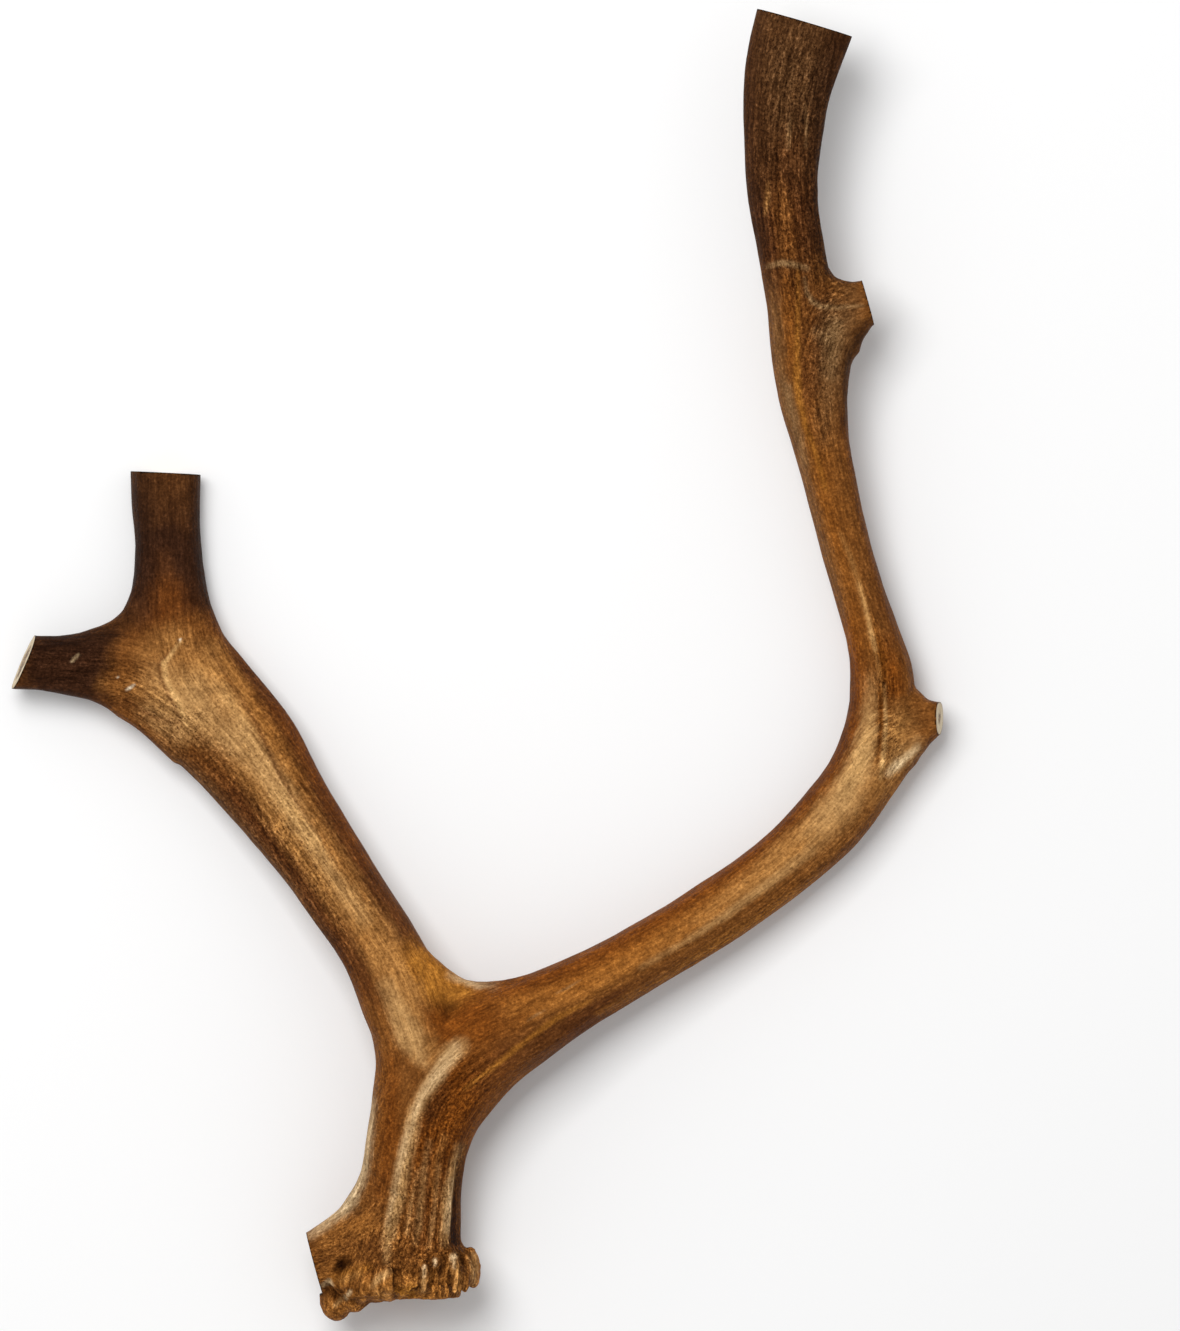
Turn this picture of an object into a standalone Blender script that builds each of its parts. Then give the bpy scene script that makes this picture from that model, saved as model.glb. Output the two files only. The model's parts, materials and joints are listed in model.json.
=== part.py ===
"""A large reindeer antler chew: a shed antler with its burr, sawn short at every tine.

Metres, +Z up. The antler lies on its side as it would on a table, resting on its burr, on the
end of the bez tine and on the elbow of the main beam. +Y runs from the burr to the sawn beam end.
It grew as one piece and is split at its main forks, with a narrow gap between neighbours:
burr_stem, bez_tine with its two points, and main_beam. Each limb is a loft through measured
sections, and the limbs and the burr's pearls are fused by a voxel remesh.
"""

import math
import random
from collections import namedtuple

import bmesh
import bpy
from mathutils import Matrix, Vector

MM = 0.001

# Driving dimensions, in metres.
BURR_RADIUS = 21.2 * MM
BURR_FLATTENING = 0.93
BURR_TILT = math.radians(8)
HIDDEN_PEARLS = 14
HIDDEN_PEARL_RADIUS = 2.2 * MM
HIDDEN_PEARL_HALF_LENGTH = 4.8 * MM
SPLIT_GAP = 0.3 * MM

# How finely the shape is worked out.
RING_POINTS = 32
RING_SPACING = 3 * MM
VOXEL_SIZE = 0.9 * MM
SMOOTH_STEPS = 5
PEARL_SUBDIVISIONS = 3
ROUGH_TRIM = 6 * MM
SHARP_ANGLE = math.radians(50)
SQUARENESS = 2.25
FLUTES = 5
FLUTE_DEPTH = 0.022
FLUTE_TWIST = 9.0
SEED = 7

# A limb's section: its middle, its width seen from above and its depth, in millimetres.
Section = namedtuple("Section", "x y z width depth")

BEAM = [
    Section(-19.5, -190.0, 22.0, 28.5, 27.5),
    Section(-19.5, -172.5, 22.0, 28.5, 28.5),
    Section(-19.6, -154.5, 22.5, 29.5, 29.0),
    Section(-17.4, -139.5, 23.0, 31.5, 29.0),
    Section(-11.5, -126.0, 23.5, 34.0, 28.0),
    Section(0.5, -114.5, 23.0, 31.5, 26.0),
    Section(15.3, -106.7, 22.0, 26.0, 24.0),
    Section(29.4, -99.0, 20.5, 22.0, 21.5),
    Section(47.4, -89.3, 18.0, 20.0, 20.5),
    Section(72.0, -74.6, 14.5, 20.0, 20.5),
    Section(91.2, -60.8, 12.3, 20.0, 21.0),
    Section(105.3, -47.6, 11.0, 21.5, 21.5),
    Section(115.5, -33.8, 10.8, 21.0, 21.5),
    Section(120.9, -18.8, 10.6, 20.5, 21.5),
    Section(121.5, -4.6, 11.0, 19.2, 21.0),
    Section(119.0, 7.4, 11.8, 16.4, 20.5),
    Section(115.2, 19.4, 13.0, 15.3, 20.0),
    Section(110.7, 34.4, 15.0, 15.0, 19.5),
    Section(107.0, 49.4, 17.3, 15.3, 19.5),
    Section(103.4, 64.4, 19.8, 16.8, 19.5),
    Section(100.5, 79.4, 22.2, 20.0, 19.0),
    Section(98.6, 94.4, 24.6, 21.4, 18.5),
    Section(96.6, 109.4, 26.8, 20.4, 18.0),
    Section(93.8, 124.4, 28.8, 19.8, 18.0),
    Section(91.5, 139.4, 30.5, 21.0, 17.5),
    Section(91.4, 154.4, 32.0, 23.0, 17.0),
    Section(92.4, 169.4, 33.2, 25.8, 16.5),
    Section(94.8, 181.4, 34.0, 28.2, 16.0),
    Section(98.6, 194.0, 34.5, 29.8, 15.5),
    Section(101.5, 204.0, 34.8, 30.5, 15.5),
]
BEZ_TINE = [
    Section(-13.5, -120.2, 23.0, 26.0, 25.0),
    Section(-21.6, -102.2, 22.5, 26.0, 25.0),
    Section(-29.3, -85.7, 21.0, 24.0, 23.0),
    Section(-39.3, -70.7, 19.0, 24.2, 21.5),
    Section(-49.2, -55.7, 17.0, 26.0, 20.0),
    Section(-59.6, -41.3, 15.0, 29.0, 19.0),
    Section(-69.3, -27.2, 13.0, 33.4, 18.0),
    Section(-80.2, -14.5, 11.5, 35.0, 17.0),
    Section(-88.9, -1.1, 10.5, 32.0, 16.5),
    Section(-92.5, 12.8, 9.6, 27.0, 16.0),
    Section(-93.0, 25.4, 8.8, 21.6, 16.0),
    Section(-93.3, 37.4, 8.3, 19.8, 16.0),
    Section(-93.9, 49.4, 8.0, 20.5, 16.0),
    Section(-94.0, 66.0, 8.0, 21.3, 16.0),
]
FRONT_POINT = [
    Section(-81.0, -17.5, 11.5, 33.0, 16.0),
    Section(-93.6, -8.0, 11.5, 30.0, 15.5),
    Section(-104.7, -2.0, 12.0, 28.5, 15.0),
    Section(-113.1, -0.5, 12.4, 24.0, 14.5),
    Section(-119.1, -0.5, 12.7, 20.2, 14.0),
    Section(-125.1, -0.4, 13.0, 17.9, 13.8),
    Section(-131.1, 0.0, 13.3, 16.5, 13.5),
    Section(-147.0, 0.8, 14.0, 16.2, 13.5),
]
BACK_TINE = [
    Section(114.8, -28.4, 11.0, 14.0, 17.0),
    Section(121.0, -22.3, 11.5, 25.6, 16.5),
    Section(128.1, -17.2, 12.4, 22.4, 13.5),
    Section(132.8, -16.9, 13.0, 18.0, 11.5),
    Section(136.0, -16.5, 13.5, 12.4, 10.3),
    Section(139.8, -15.3, 14.0, 7.8, 9.5),
    Section(148.0, -13.6, 14.6, 7.0, 9.0),
]
UPPER_TINE = [
    Section(98.9, 99.9, 25.2, 20.0, 15.5),
    Section(105.4, 102.4, 25.8, 27.5, 15.0),
    Section(110.3, 105.2, 26.2, 20.0, 13.5),
    Section(113.9, 107.0, 26.4, 15.5, 12.3),
    Section(116.7, 108.5, 26.6, 13.1, 11.5),
    Section(125.0, 110.8, 26.8, 10.5, 11.0),
]
BROW_TINE = [
    Section(-21.6, -165.2, 22.0, 28.0, 26.0),
    Section(-32.1, -172.0, 22.0, 26.0, 24.0),
    Section(-40.5, -176.3, 22.0, 21.5, 19.0),
    Section(-48.9, -179.3, 22.0, 17.0, 16.0),
    Section(-56.0, -181.0, 22.0, 15.5, 15.0),
]
# The webs of bone that round off the forks, each a thin limb that follows the hollow of one.
FORK_WEB = [
    Section(-23.2, -85.7, 21.5, 13.0, 16.0),
    Section(-19.6, -92.3, 22.0, 15.5, 16.0),
    Section(-13.3, -98.3, 22.3, 16.5, 15.5),
    Section(-5.2, -102.2, 22.5, 15.5, 15.0),
    Section(3.8, -102.8, 22.5, 15.0, 15.0),
    Section(13.4, -101.0, 22.0, 14.5, 15.5),
    Section(22.4, -97.4, 21.0, 13.0, 15.0),
    Section(30.8, -93.2, 20.0, 12.0, 15.0),
]
POINTS_WEB = [
    Section(-96.4, 31.3, 8.8, 13.0, 12.0),
    Section(-97.0, 24.7, 9.2, 13.0, 12.0),
    Section(-98.5, 18.1, 9.8, 13.5, 12.0),
    Section(-101.5, 12.1, 10.4, 13.5, 11.5),
    Section(-106.6, 7.6, 11.0, 13.0, 11.5),
    Section(-113.2, 4.6, 11.8, 13.0, 11.5),
    Section(-120.4, 2.8, 12.4, 12.5, 11.5),
]
STEM_WEB = [
    Section(-29.8, -96.2, 21.5, 13.0, 22.0),
    Section(-24.1, -106.7, 22.0, 17.0, 23.0),
    Section(-22.0, -118.7, 22.5, 17.0, 23.0),
    Section(-22.9, -130.7, 22.5, 17.5, 23.0),
    Section(-24.4, -141.2, 22.5, 17.5, 23.0),
    Section(-26.3, -150.2, 22.3, 16.5, 22.0),
    Section(-29.6, -158.2, 22.0, 14.5, 21.0),
    Section(-35.1, -166.8, 22.0, 14.5, 19.0),
    Section(-42.5, -172.6, 22.0, 13.5, 17.0),
    Section(-51.7, -179.3, 22.0, 14.0, 15.0),
]
BACK_TINE_WEB = [
    Section(116.5, -42.7, 11.0, 10.0, 14.0),
    Section(122.3, -34.3, 11.5, 10.0, 14.0),
    Section(125.8, -29.1, 12.0, 10.0, 13.5),
    Section(128.8, -24.9, 12.4, 10.0, 12.5),
    Section(131.7, -21.1, 12.8, 10.0, 11.5),
    Section(135.4, -15.8, 13.4, 9.0, 10.0),
]
UPPER_TINE_UPPER_WEB = [
    Section(97.6, 131.6, 28.5, 8.0, 13.0),
    Section(99.3, 121.8, 27.5, 8.0, 13.0),
    Section(101.3, 116.2, 27.0, 8.5, 13.0),
    Section(105.8, 111.3, 26.6, 8.5, 12.5),
    Section(114.3, 109.8, 26.6, 8.0, 11.0),
]
UPPER_TINE_LOWER_WEB = [
    Section(106.8, 68.0, 20.5, 9.0, 15.0),
    Section(106.3, 80.0, 22.0, 9.0, 15.0),
    Section(107.6, 91.5, 24.0, 9.0, 14.0),
    Section(111.6, 99.9, 25.6, 9.0, 12.5),
    Section(114.4, 104.4, 26.4, 9.0, 11.0),
]
WEBS = (
    FORK_WEB,
    POINTS_WEB,
    STEM_WEB,
    BACK_TINE_WEB,
    UPPER_TINE_UPPER_WEB,
    UPPER_TINE_LOWER_WEB,
)
# The burr's core, along its own axis from the shed face up into the stem.
BURR_CORE = [
    Section(0, -6.0, 0, 34.0, 32.0),
    Section(0, -4.5, 0, 39.0, 36.5),
    Section(0, 0.0, 0, 41.0, 38.0),
    Section(0, 6.0, 0, 38.0, 35.5),
    Section(0, 11.0, 0, 31.0, 30.0),
    Section(0, 17.0, 0, 27.0, 27.0),
]
BURR_CENTRE = Vector((-22.6, -183.0, 22.0)) * MM
SEAL_DROP = 4.2 * MM
SEAL_RADII = Vector((15.5, 3.2, 14.5)) * MM
# The pearls on the burr's upper half. Angle is around the burr's axis, from its beam side over the
# top, in degrees. Lift is along the axis. All but the angle are in millimetres.
Pearl = namedtuple("Pearl", "angle lift radius half_length")
PEARLS = [
    Pearl(3, -0.2, 2.6, 6.0),
    Pearl(12, -3.0, 2.2, 4.6),
    Pearl(23, -0.8, 2.0, 5.6),
    Pearl(32, -3.4, 2.2, 4.6),
    Pearl(41, 0.8, 2.1, 6.4),
    Pearl(59, 3.2, 1.6, 2.8),
    Pearl(71, 0.7, 1.8, 4.4),
    Pearl(86, -2.0, 1.8, 3.6),
    Pearl(101, 0.3, 2.7, 4.6),
    Pearl(120, -1.4, 2.2, 4.0),
    Pearl(138, -1.2, 1.7, 4.4),
    Pearl(157, 0.2, 2.0, 4.0),
    Pearl(176, 0.4, 2.3, 4.6),
]
# Larger lumps at the burr's brow side: middle and radii, in millimetres.
BURR_LUMPS = [
    ((-42.5, -190.3, 21.0), (5.2, 7.0, 7.0)),
    ((-37.0, -189.4, 26.0), (4.4, 5.0, 6.0)),
    ((-31.0, -187.4, 25.0), (5.0, 4.2, 8.0)),
]

# A saw cut: a point on the cut face, the direction it faces and how far it reaches to each side,
# in millimetres. The brow tine's cut stops short of the lumps beside it.
SawCut = namedtuple("SawCut", "node at facing reach")
SAW_CUTS = {
    "beam_end": SawCut("main_beam", (97.7, 191.4, 34.4), (0.28, 0.95, 0.0), 26.0),
    "back_tine_end": SawCut("main_beam", (138.6, -15.7, 14.0), (0.97, 0.0, 0.24), 26.0),
    "upper_tine_end": SawCut("main_beam", (116.7, 108.5, 26.6), (0.96, 0.27, 0.0), 26.0),
    "bez_upper_end": SawCut("bez_upper_point", (-93.7, 57.3, 8.0), (0.05, 1.0, 0.0), 26.0),
    "bez_front_end": SawCut("bez_front_point", (-136.6, 0.2, 13.4), (-0.91, 0.39, 0.15), 26.0),
    "brow_end": SawCut("burr_stem", (-49.2, -178.8, 22.0), (-0.97, -0.26, 0.0), 10.3),
}

# A split: a point on it and the direction of the limb beyond it.
Split = namedtuple("Split", "at beyond")
BEZ_ROOT = Split((-29.0, -85.5, 21.0), (-0.53, 0.84, 0.0))
BEAM_ROOT = Split((16.0, -106.3, 22.0), (0.90, 0.43, 0.0))
UPPER_POINT_ROOT = Split((-92.5, 16.0, 9.5), (0.0, 1.0, 0.0))
FRONT_POINT_ROOT = Split((-110.0, -1.0, 12.0), (-1.0, 0.0, 0.0))
# The empty space between the bez tine and the main beam.
BETWEEN_LIMBS = Split((20.0, 0.0, 0.0), (1.0, 0.0, 0.0))

# A solid: the splits that bound it, each with whether the solid lies beyond it, about how many
# triangles it has, and its colour.
Solid = namedtuple("Solid", "bounds triangles colour")
SOLIDS = {
    "burr_stem": Solid([(BEZ_ROOT, False), (BEAM_ROOT, False)], 3500, (0.27, 0.14, 0.05)),
    "bez_tine": Solid(
        [
            (BEZ_ROOT, True),
            (BETWEEN_LIMBS, False),
            (UPPER_POINT_ROOT, False),
            (FRONT_POINT_ROOT, False),
        ],
        1700,
        (0.40, 0.25, 0.11),
    ),
    "bez_upper_point": Solid(
        [(UPPER_POINT_ROOT, True), (BETWEEN_LIMBS, False)], 500, (0.07, 0.03, 0.02)
    ),
    "bez_front_point": Solid([(FRONT_POINT_ROOT, True)], 400, (0.06, 0.03, 0.02)),
    "main_beam": Solid([(BEAM_ROOT, True)], 3300, (0.30, 0.14, 0.04)),
}


def clear_scene():
    for thing in list(bpy.data.objects):
        bpy.data.objects.remove(thing)


def new_collection(name):
    collection = bpy.data.collections.new(name)
    bpy.context.scene.collection.children.link(collection)
    return collection


def eased(a, b, c, d, t):
    """Catmull-Rom: the value at t between b and c."""
    return 0.5 * (
        2 * b + (c - a) * t + (2 * a - 5 * b + 4 * c - d) * t**2 + (3 * b - a - 3 * c + d) * t**3
    )


def fine_sections(sections):
    """The limb's sections at an even, close spacing, in metres: (middle, width, depth)."""
    rows = [Vector(section[:3]) * MM for section in sections]
    sizes = [Vector(section[3:]) * MM for section in sections]
    found = []
    for i in range(len(sections) - 1):
        near = [max(i - 1, 0), i, i + 1, min(i + 2, len(sections) - 1)]
        steps = max(1, round((rows[i + 1] - rows[i]).length / RING_SPACING))
        for k in range(steps):
            middle = eased(*(rows[n] for n in near), k / steps)
            size = eased(*(sizes[n] for n in near), k / steps)
            found.append((middle, size))
    found.append((rows[-1], sizes[-1]))
    return found


def add_loft(bm, sections, place=Matrix.Identity(4), fluted=True):
    """A closed limb through the sections, with slightly squared and fluted rings."""
    fine = fine_sections(sections)
    rings = []
    travelled = 0.0
    for i, (middle, size) in enumerate(fine):
        before = fine[max(i - 1, 0)][0]
        after = fine[min(i + 1, len(fine) - 1)][0]
        along = (after - before).normalized()
        side = Vector((along.y, -along.x, 0)).normalized()
        up = side.cross(along)
        travelled += (middle - before).length
        ring = []
        for k in range(RING_POINTS):
            angle = 2 * math.pi * k / RING_POINTS
            across, over = math.cos(angle), math.sin(angle)
            reach = (abs(across) ** SQUARENESS + abs(over) ** SQUARENESS) ** (-1 / SQUARENESS)
            if fluted:
                reach *= 1 + FLUTE_DEPTH * math.cos(FLUTES * angle + FLUTE_TWIST * travelled)
            offset = side * (across * size.x / 2) + up * (over * size.y / 2)
            ring.append(bm.verts.new(place @ (middle + offset * reach)))
        rings.append(ring)
    for low, high in zip(rings, rings[1:]):
        for k in range(RING_POINTS):
            n = (k + 1) % RING_POINTS
            bm.faces.new((low[k], low[n], high[n], high[k]))
    bm.faces.new(reversed(rings[0]))
    bm.faces.new(rings[-1])


def add_pearl(bm, place, radii):
    """One bead of the burr, an ellipsoid."""
    shape = place @ Matrix.Diagonal((*radii, 1.0))
    bmesh.ops.create_icosphere(bm, subdivisions=PEARL_SUBDIVISIONS, radius=1.0, matrix=shape)


def burr_frame():
    """The burr's own frame: +Y up its axis into the stem."""
    return Matrix.Translation(BURR_CENTRE) @ Matrix.Rotation(BURR_TILT, 4, "Z")


def add_burr(bm):
    """The burr: its core, the ring of finger-shaped pearls and the domed face it was shed from."""
    place = burr_frame()
    add_loft(bm, BURR_CORE, place, fluted=False)
    add_pearl(bm, place @ Matrix.Translation((0, -SEAL_DROP, 0)), SEAL_RADII)
    for middle, radii in BURR_LUMPS:
        add_pearl(bm, Matrix.Translation(Vector(middle) * MM), Vector(radii) * MM)
    chance = random.Random(SEED)
    pearls = [Pearl(p.angle, p.lift * MM, p.radius * MM, p.half_length * MM) for p in PEARLS]
    for i in range(HIDDEN_PEARLS):
        angle = 180 + 180 * (i + 0.9 + chance.uniform(-0.2, 0.2)) / (HIDDEN_PEARLS + 1)
        lift = chance.uniform(-1.4, 1.4) * MM
        radius = HIDDEN_PEARL_RADIUS * chance.uniform(0.8, 1.1)
        pearls.append(Pearl(angle, lift, radius, HIDDEN_PEARL_HALF_LENGTH * chance.uniform(0.8, 1.2)))
    for pearl in pearls:
        around = math.radians(pearl.angle)
        outward = Vector((math.cos(around), 0, math.sin(around) * BURR_FLATTENING))
        spot = Matrix.Translation(outward * BURR_RADIUS + Vector((0, pearl.lift, 0)))
        lean = Matrix.Rotation(chance.uniform(-0.2, 0.2), 4, outward)
        add_pearl(bm, place @ spot @ lean, (pearl.radius, pearl.half_length, pearl.radius))


def fused_antler():
    """Every limb and pearl in one mesh, remeshed to a single skin and softened at its joins."""
    mesh = bpy.data.meshes.new("limbs")
    bm = bmesh.new()
    for limb in (BEAM, BEZ_TINE, FRONT_POINT, BACK_TINE, UPPER_TINE, BROW_TINE):
        add_loft(bm, limb)
    for web in WEBS:
        add_loft(bm, web, fluted=False)
    add_burr(bm)
    bmesh.ops.recalc_face_normals(bm, faces=bm.faces)
    bm.to_mesh(mesh)
    bm.free()
    limbs = bpy.data.objects.new("limbs", mesh)
    bpy.context.scene.collection.objects.link(limbs)
    remesh = limbs.modifiers.new("fuse", "REMESH")
    remesh.mode = "VOXEL"
    remesh.voxel_size = VOXEL_SIZE
    soften = limbs.modifiers.new("soften", "SMOOTH")
    soften.factor = 0.5
    soften.iterations = SMOOTH_STEPS
    return baked(limbs, "fused")


def baked(thing, name):
    """The object's mesh with its modifiers applied, in place of the object."""
    bpy.context.view_layer.update()
    evaluated = thing.evaluated_get(bpy.context.evaluated_depsgraph_get())
    mesh = bpy.data.meshes.new_from_object(evaluated)
    mesh.name = name
    bpy.data.objects.remove(thing)
    return mesh


def trimmed(mesh, planes, margin):
    """The part of the mesh on the kept side of each plane, moved back from it by margin."""
    bm = bmesh.new()
    bm.from_mesh(mesh)
    for split, keep_beyond in planes:
        outward = Vector(split.beyond).normalized() * (-1 if keep_beyond else 1)
        bmesh.ops.bisect_plane(
            bm,
            geom=bm.verts[:] + bm.edges[:] + bm.faces[:],
            plane_co=Vector(split.at) * MM - outward * margin,
            plane_no=outward,
            clear_outer=True,
            dist=1e-7,
        )
        bmesh.ops.holes_fill(bm, edges=[edge for edge in bm.edges if edge.is_boundary])
    cut = bpy.data.meshes.new(mesh.name)
    bm.to_mesh(cut)
    bm.free()
    return cut


def thinned(mesh, triangles):
    """The mesh with about this many triangles."""
    thing = bpy.data.objects.new("dense", mesh)
    bpy.context.scene.collection.objects.link(thing)
    decimate = thing.modifiers.new("thin", "DECIMATE")
    mesh.calc_loop_triangles()
    decimate.ratio = triangles / len(mesh.loop_triangles)
    return baked(thing, mesh.name)


def antler_material(name, colour):
    material = bpy.data.materials.new(name)
    material.use_nodes = True
    shader = material.node_tree.nodes["Principled BSDF"]
    shader.inputs["Base Color"].default_value = (*colour, 1)
    shader.inputs["Roughness"].default_value = 0.45
    shader.inputs["Metallic"].default_value = 0.0
    return material


def add_node(name, fused, solid, collection, origin):
    """One solid of the antler: the fused skin, thinned, between the splits that bound it."""
    roughly = trimmed(fused, solid.bounds, -ROUGH_TRIM)
    mesh = trimmed(thinned(roughly, solid.triangles), solid.bounds, SPLIT_GAP / 2)
    mesh.name = name
    mesh.materials.clear()
    mesh.materials.append(antler_material(name, solid.colour))
    mesh.shade_smooth()
    mesh.set_sharp_from_angle(angle=SHARP_ANGLE)
    thing = bpy.data.objects.new(name, mesh)
    thing.parent = origin
    collection.objects.link(thing)
    return thing


def saw_off(name, cut, node, collection, origin):
    """Removes what lies beyond the cut with a block whose face is the cut."""
    reach = cut.reach * MM
    bpy.ops.mesh.primitive_cube_add(size=2 * reach)
    block = bpy.context.object
    for linked in list(block.users_collection):
        linked.objects.unlink(block)
    collection.objects.link(block)
    facing = Vector(cut.facing).normalized()
    block.name = name
    block.rotation_mode = "QUATERNION"
    block.rotation_quaternion = facing.to_track_quat("Z", "Y")
    block.location = Vector(cut.at) * MM + facing * reach
    block.parent = origin
    block.hide_render = True
    block.display_type = "WIRE"
    saw = node.modifiers.new(name, "BOOLEAN")
    saw.operation = "DIFFERENCE"
    saw.solver = "EXACT"
    saw.object = block


def stand_on_floor(nodes, origin):
    """Moves everything so that the antler's lowest point is at Z 0, and X and Y are centred."""
    bpy.context.view_layer.update()
    graph = bpy.context.evaluated_depsgraph_get()
    points = []
    for thing in nodes:
        evaluated = thing.evaluated_get(graph)
        mesh = evaluated.to_mesh()
        points += [evaluated.matrix_world @ vertex.co for vertex in mesh.vertices]
        evaluated.to_mesh_clear()
    low = Vector(min(point[i] for point in points) for i in range(3))
    high = Vector(max(point[i] for point in points) for i in range(3))
    origin.location = -Vector(((low.x + high.x) / 2, (low.y + high.y) / 2, low.z))


def build():
    clear_scene()
    antler = new_collection("antler_chew")
    cutters = new_collection("cutters")
    origin = bpy.data.objects.new("antler_origin", None)
    antler.objects.link(origin)
    fused = fused_antler()
    nodes = {
        name: add_node(name, fused, solid, antler, origin) for name, solid in SOLIDS.items()
    }
    bpy.data.meshes.remove(fused)
    for name, cut in SAW_CUTS.items():
        saw_off(name, cut, nodes[cut.node], cutters, origin)
    stand_on_floor(nodes.values(), origin)


build()
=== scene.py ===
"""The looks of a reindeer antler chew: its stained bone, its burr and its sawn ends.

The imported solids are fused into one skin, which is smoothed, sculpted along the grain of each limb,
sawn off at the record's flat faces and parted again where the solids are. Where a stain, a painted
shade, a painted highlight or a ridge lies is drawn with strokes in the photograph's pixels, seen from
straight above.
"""

import json
import math
import random
from collections import namedtuple

import bmesh
import bpy
import numpy as np
from mathutils import Matrix, Vector, geometry


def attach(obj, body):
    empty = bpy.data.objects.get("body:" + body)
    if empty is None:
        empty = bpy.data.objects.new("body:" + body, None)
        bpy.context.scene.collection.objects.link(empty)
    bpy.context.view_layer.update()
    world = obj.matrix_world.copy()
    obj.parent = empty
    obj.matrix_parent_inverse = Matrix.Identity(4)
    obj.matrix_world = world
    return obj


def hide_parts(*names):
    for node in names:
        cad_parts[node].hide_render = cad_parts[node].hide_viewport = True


MM = 0.001
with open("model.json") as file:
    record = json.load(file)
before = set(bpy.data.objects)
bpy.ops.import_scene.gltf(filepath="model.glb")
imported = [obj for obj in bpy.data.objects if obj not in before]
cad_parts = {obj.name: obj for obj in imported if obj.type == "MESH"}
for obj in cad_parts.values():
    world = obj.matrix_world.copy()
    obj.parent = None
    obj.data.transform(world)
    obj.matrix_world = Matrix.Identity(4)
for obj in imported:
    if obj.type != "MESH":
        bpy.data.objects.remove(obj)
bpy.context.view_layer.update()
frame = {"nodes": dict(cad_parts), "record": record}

# The photograph: its size, its scale, and the pixel over the middle of the row frame.
PHOTO_WIDTH = 1180
PHOTO_HEIGHT = 1331
PIXEL = 0.3 * MM
MIDDLE_X = 477.25
MIDDLE_Y = 666.3

# How fine the skin is, how far the solids grow before they are fused, and how far past its cut each
# sawn end is pulled out.
VOXEL = 0.6 * MM
GROW = 0.2 * MM
END_LENGTH = 3 * MM
SHORT_ENDS = {"brow_end": 0.8 * MM}
# How often the skin is smoothed, and how much of that the burr gets.
SMOOTH_STEPS = 40
BURR_SMOOTHING = 0.25
SEED = 11


# The limbs

# A limb's middle line and its width, in millimetres, as in the CAD.
BEAM = [
    (-24.0, -200.0, 22.0, 46.0), (-22.6, -183.0, 22.0, 46.0), (-19.5, -166.0, 22.3, 30.0),
    (-19.6, -154.5, 22.5, 29.5), (-17.4, -139.5, 23.0, 31.5), (-11.5, -126.0, 23.5, 34.0),
    (0.5, -114.5, 23.0, 31.5), (15.3, -106.7, 22.0, 26.0), (29.4, -99.0, 20.5, 22.0),
    (47.4, -89.3, 18.0, 20.0), (72.0, -74.6, 14.5, 20.0), (91.2, -60.8, 12.3, 20.0),
    (105.3, -47.6, 11.0, 21.5), (115.5, -33.8, 10.8, 21.0), (120.9, -18.8, 10.6, 20.5),
    (121.5, -4.6, 11.0, 19.2), (119.0, 7.4, 11.8, 16.4), (110.7, 34.4, 15.0, 15.0),
    (103.4, 64.4, 19.8, 16.8), (98.6, 94.4, 24.6, 21.4), (93.8, 124.4, 28.8, 19.8),
    (91.4, 154.4, 32.0, 23.0), (94.8, 181.4, 34.0, 28.2), (101.5, 204.0, 34.8, 30.5),
]
BEZ_TINE = [
    (-19.6, -154.5, 22.5, 29.5), (-17.4, -139.5, 23.0, 31.5), (-16.5, -120.2, 23.0, 28.0),
    (-21.6, -102.2, 22.5, 26.0), (-29.3, -85.7, 21.0, 24.0), (-49.2, -55.7, 17.0, 26.0),
    (-69.3, -27.2, 13.0, 33.4), (-80.2, -14.5, 11.5, 35.0), (-88.9, -1.1, 10.5, 32.0),
    (-92.5, 12.8, 9.6, 27.0), (-93.0, 25.4, 8.8, 21.6), (-93.9, 49.4, 8.0, 20.5),
    (-94.0, 66.0, 8.0, 21.3),
]
FRONT_POINT = [
    (-66.0, -32.0, 13.0, 33.0), (-81.0, -17.5, 11.5, 33.0), (-93.6, -8.0, 11.5, 30.0),
    (-104.7, -2.0, 12.0, 28.5), (-119.1, -0.5, 12.7, 20.2), (-131.1, 0.0, 13.3, 16.5),
    (-147.0, 0.8, 14.0, 16.2),
]
BACK_TINE = [
    (108.0, -40.0, 11.0, 20.0), (121.4, -22.8, 11.5, 27.0), (133.0, -17.3, 13.0, 19.0),
    (148.0, -13.6, 14.6, 7.0),
]
UPPER_TINE = [
    (99.5, 86.0, 23.5, 20.0), (105.4, 102.4, 25.8, 27.5), (116.7, 108.5, 26.6, 13.1),
    (125.0, 110.8, 26.8, 10.5),
]
BROW_TINE = [
    (-20.0, -152.0, 22.3, 29.0), (-26.0, -166.0, 22.0, 28.0), (-40.5, -176.3, 22.0, 21.5),
    (-56.0, -181.0, 22.0, 15.5),
]
# Two sets of limbs. Those of one set don't touch, so each point has one grain in each set.
FIRST_LIMBS = (BEAM, FRONT_POINT)
SECOND_LIMBS = (BEZ_TINE, BACK_TINE, UPPER_TINE, BROW_TINE)
# How closely a middle line is divided, and over what length its direction is blended.
LINE_SPACING = 2.5 * MM
LINE_SOFTNESS = 4 * MM
# How many places are straightened at once.
BATCH = 20000


def eased(a, b, c, d, t):
    """Catmull-Rom: the value at t between b and c."""
    bend, twist = 2 * a - 5 * b + 4 * c - d, 3 * b - a - 3 * c + d
    return 0.5 * (2 * b + (c - a) * t + bend * t**2 + twist * t**3)


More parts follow.
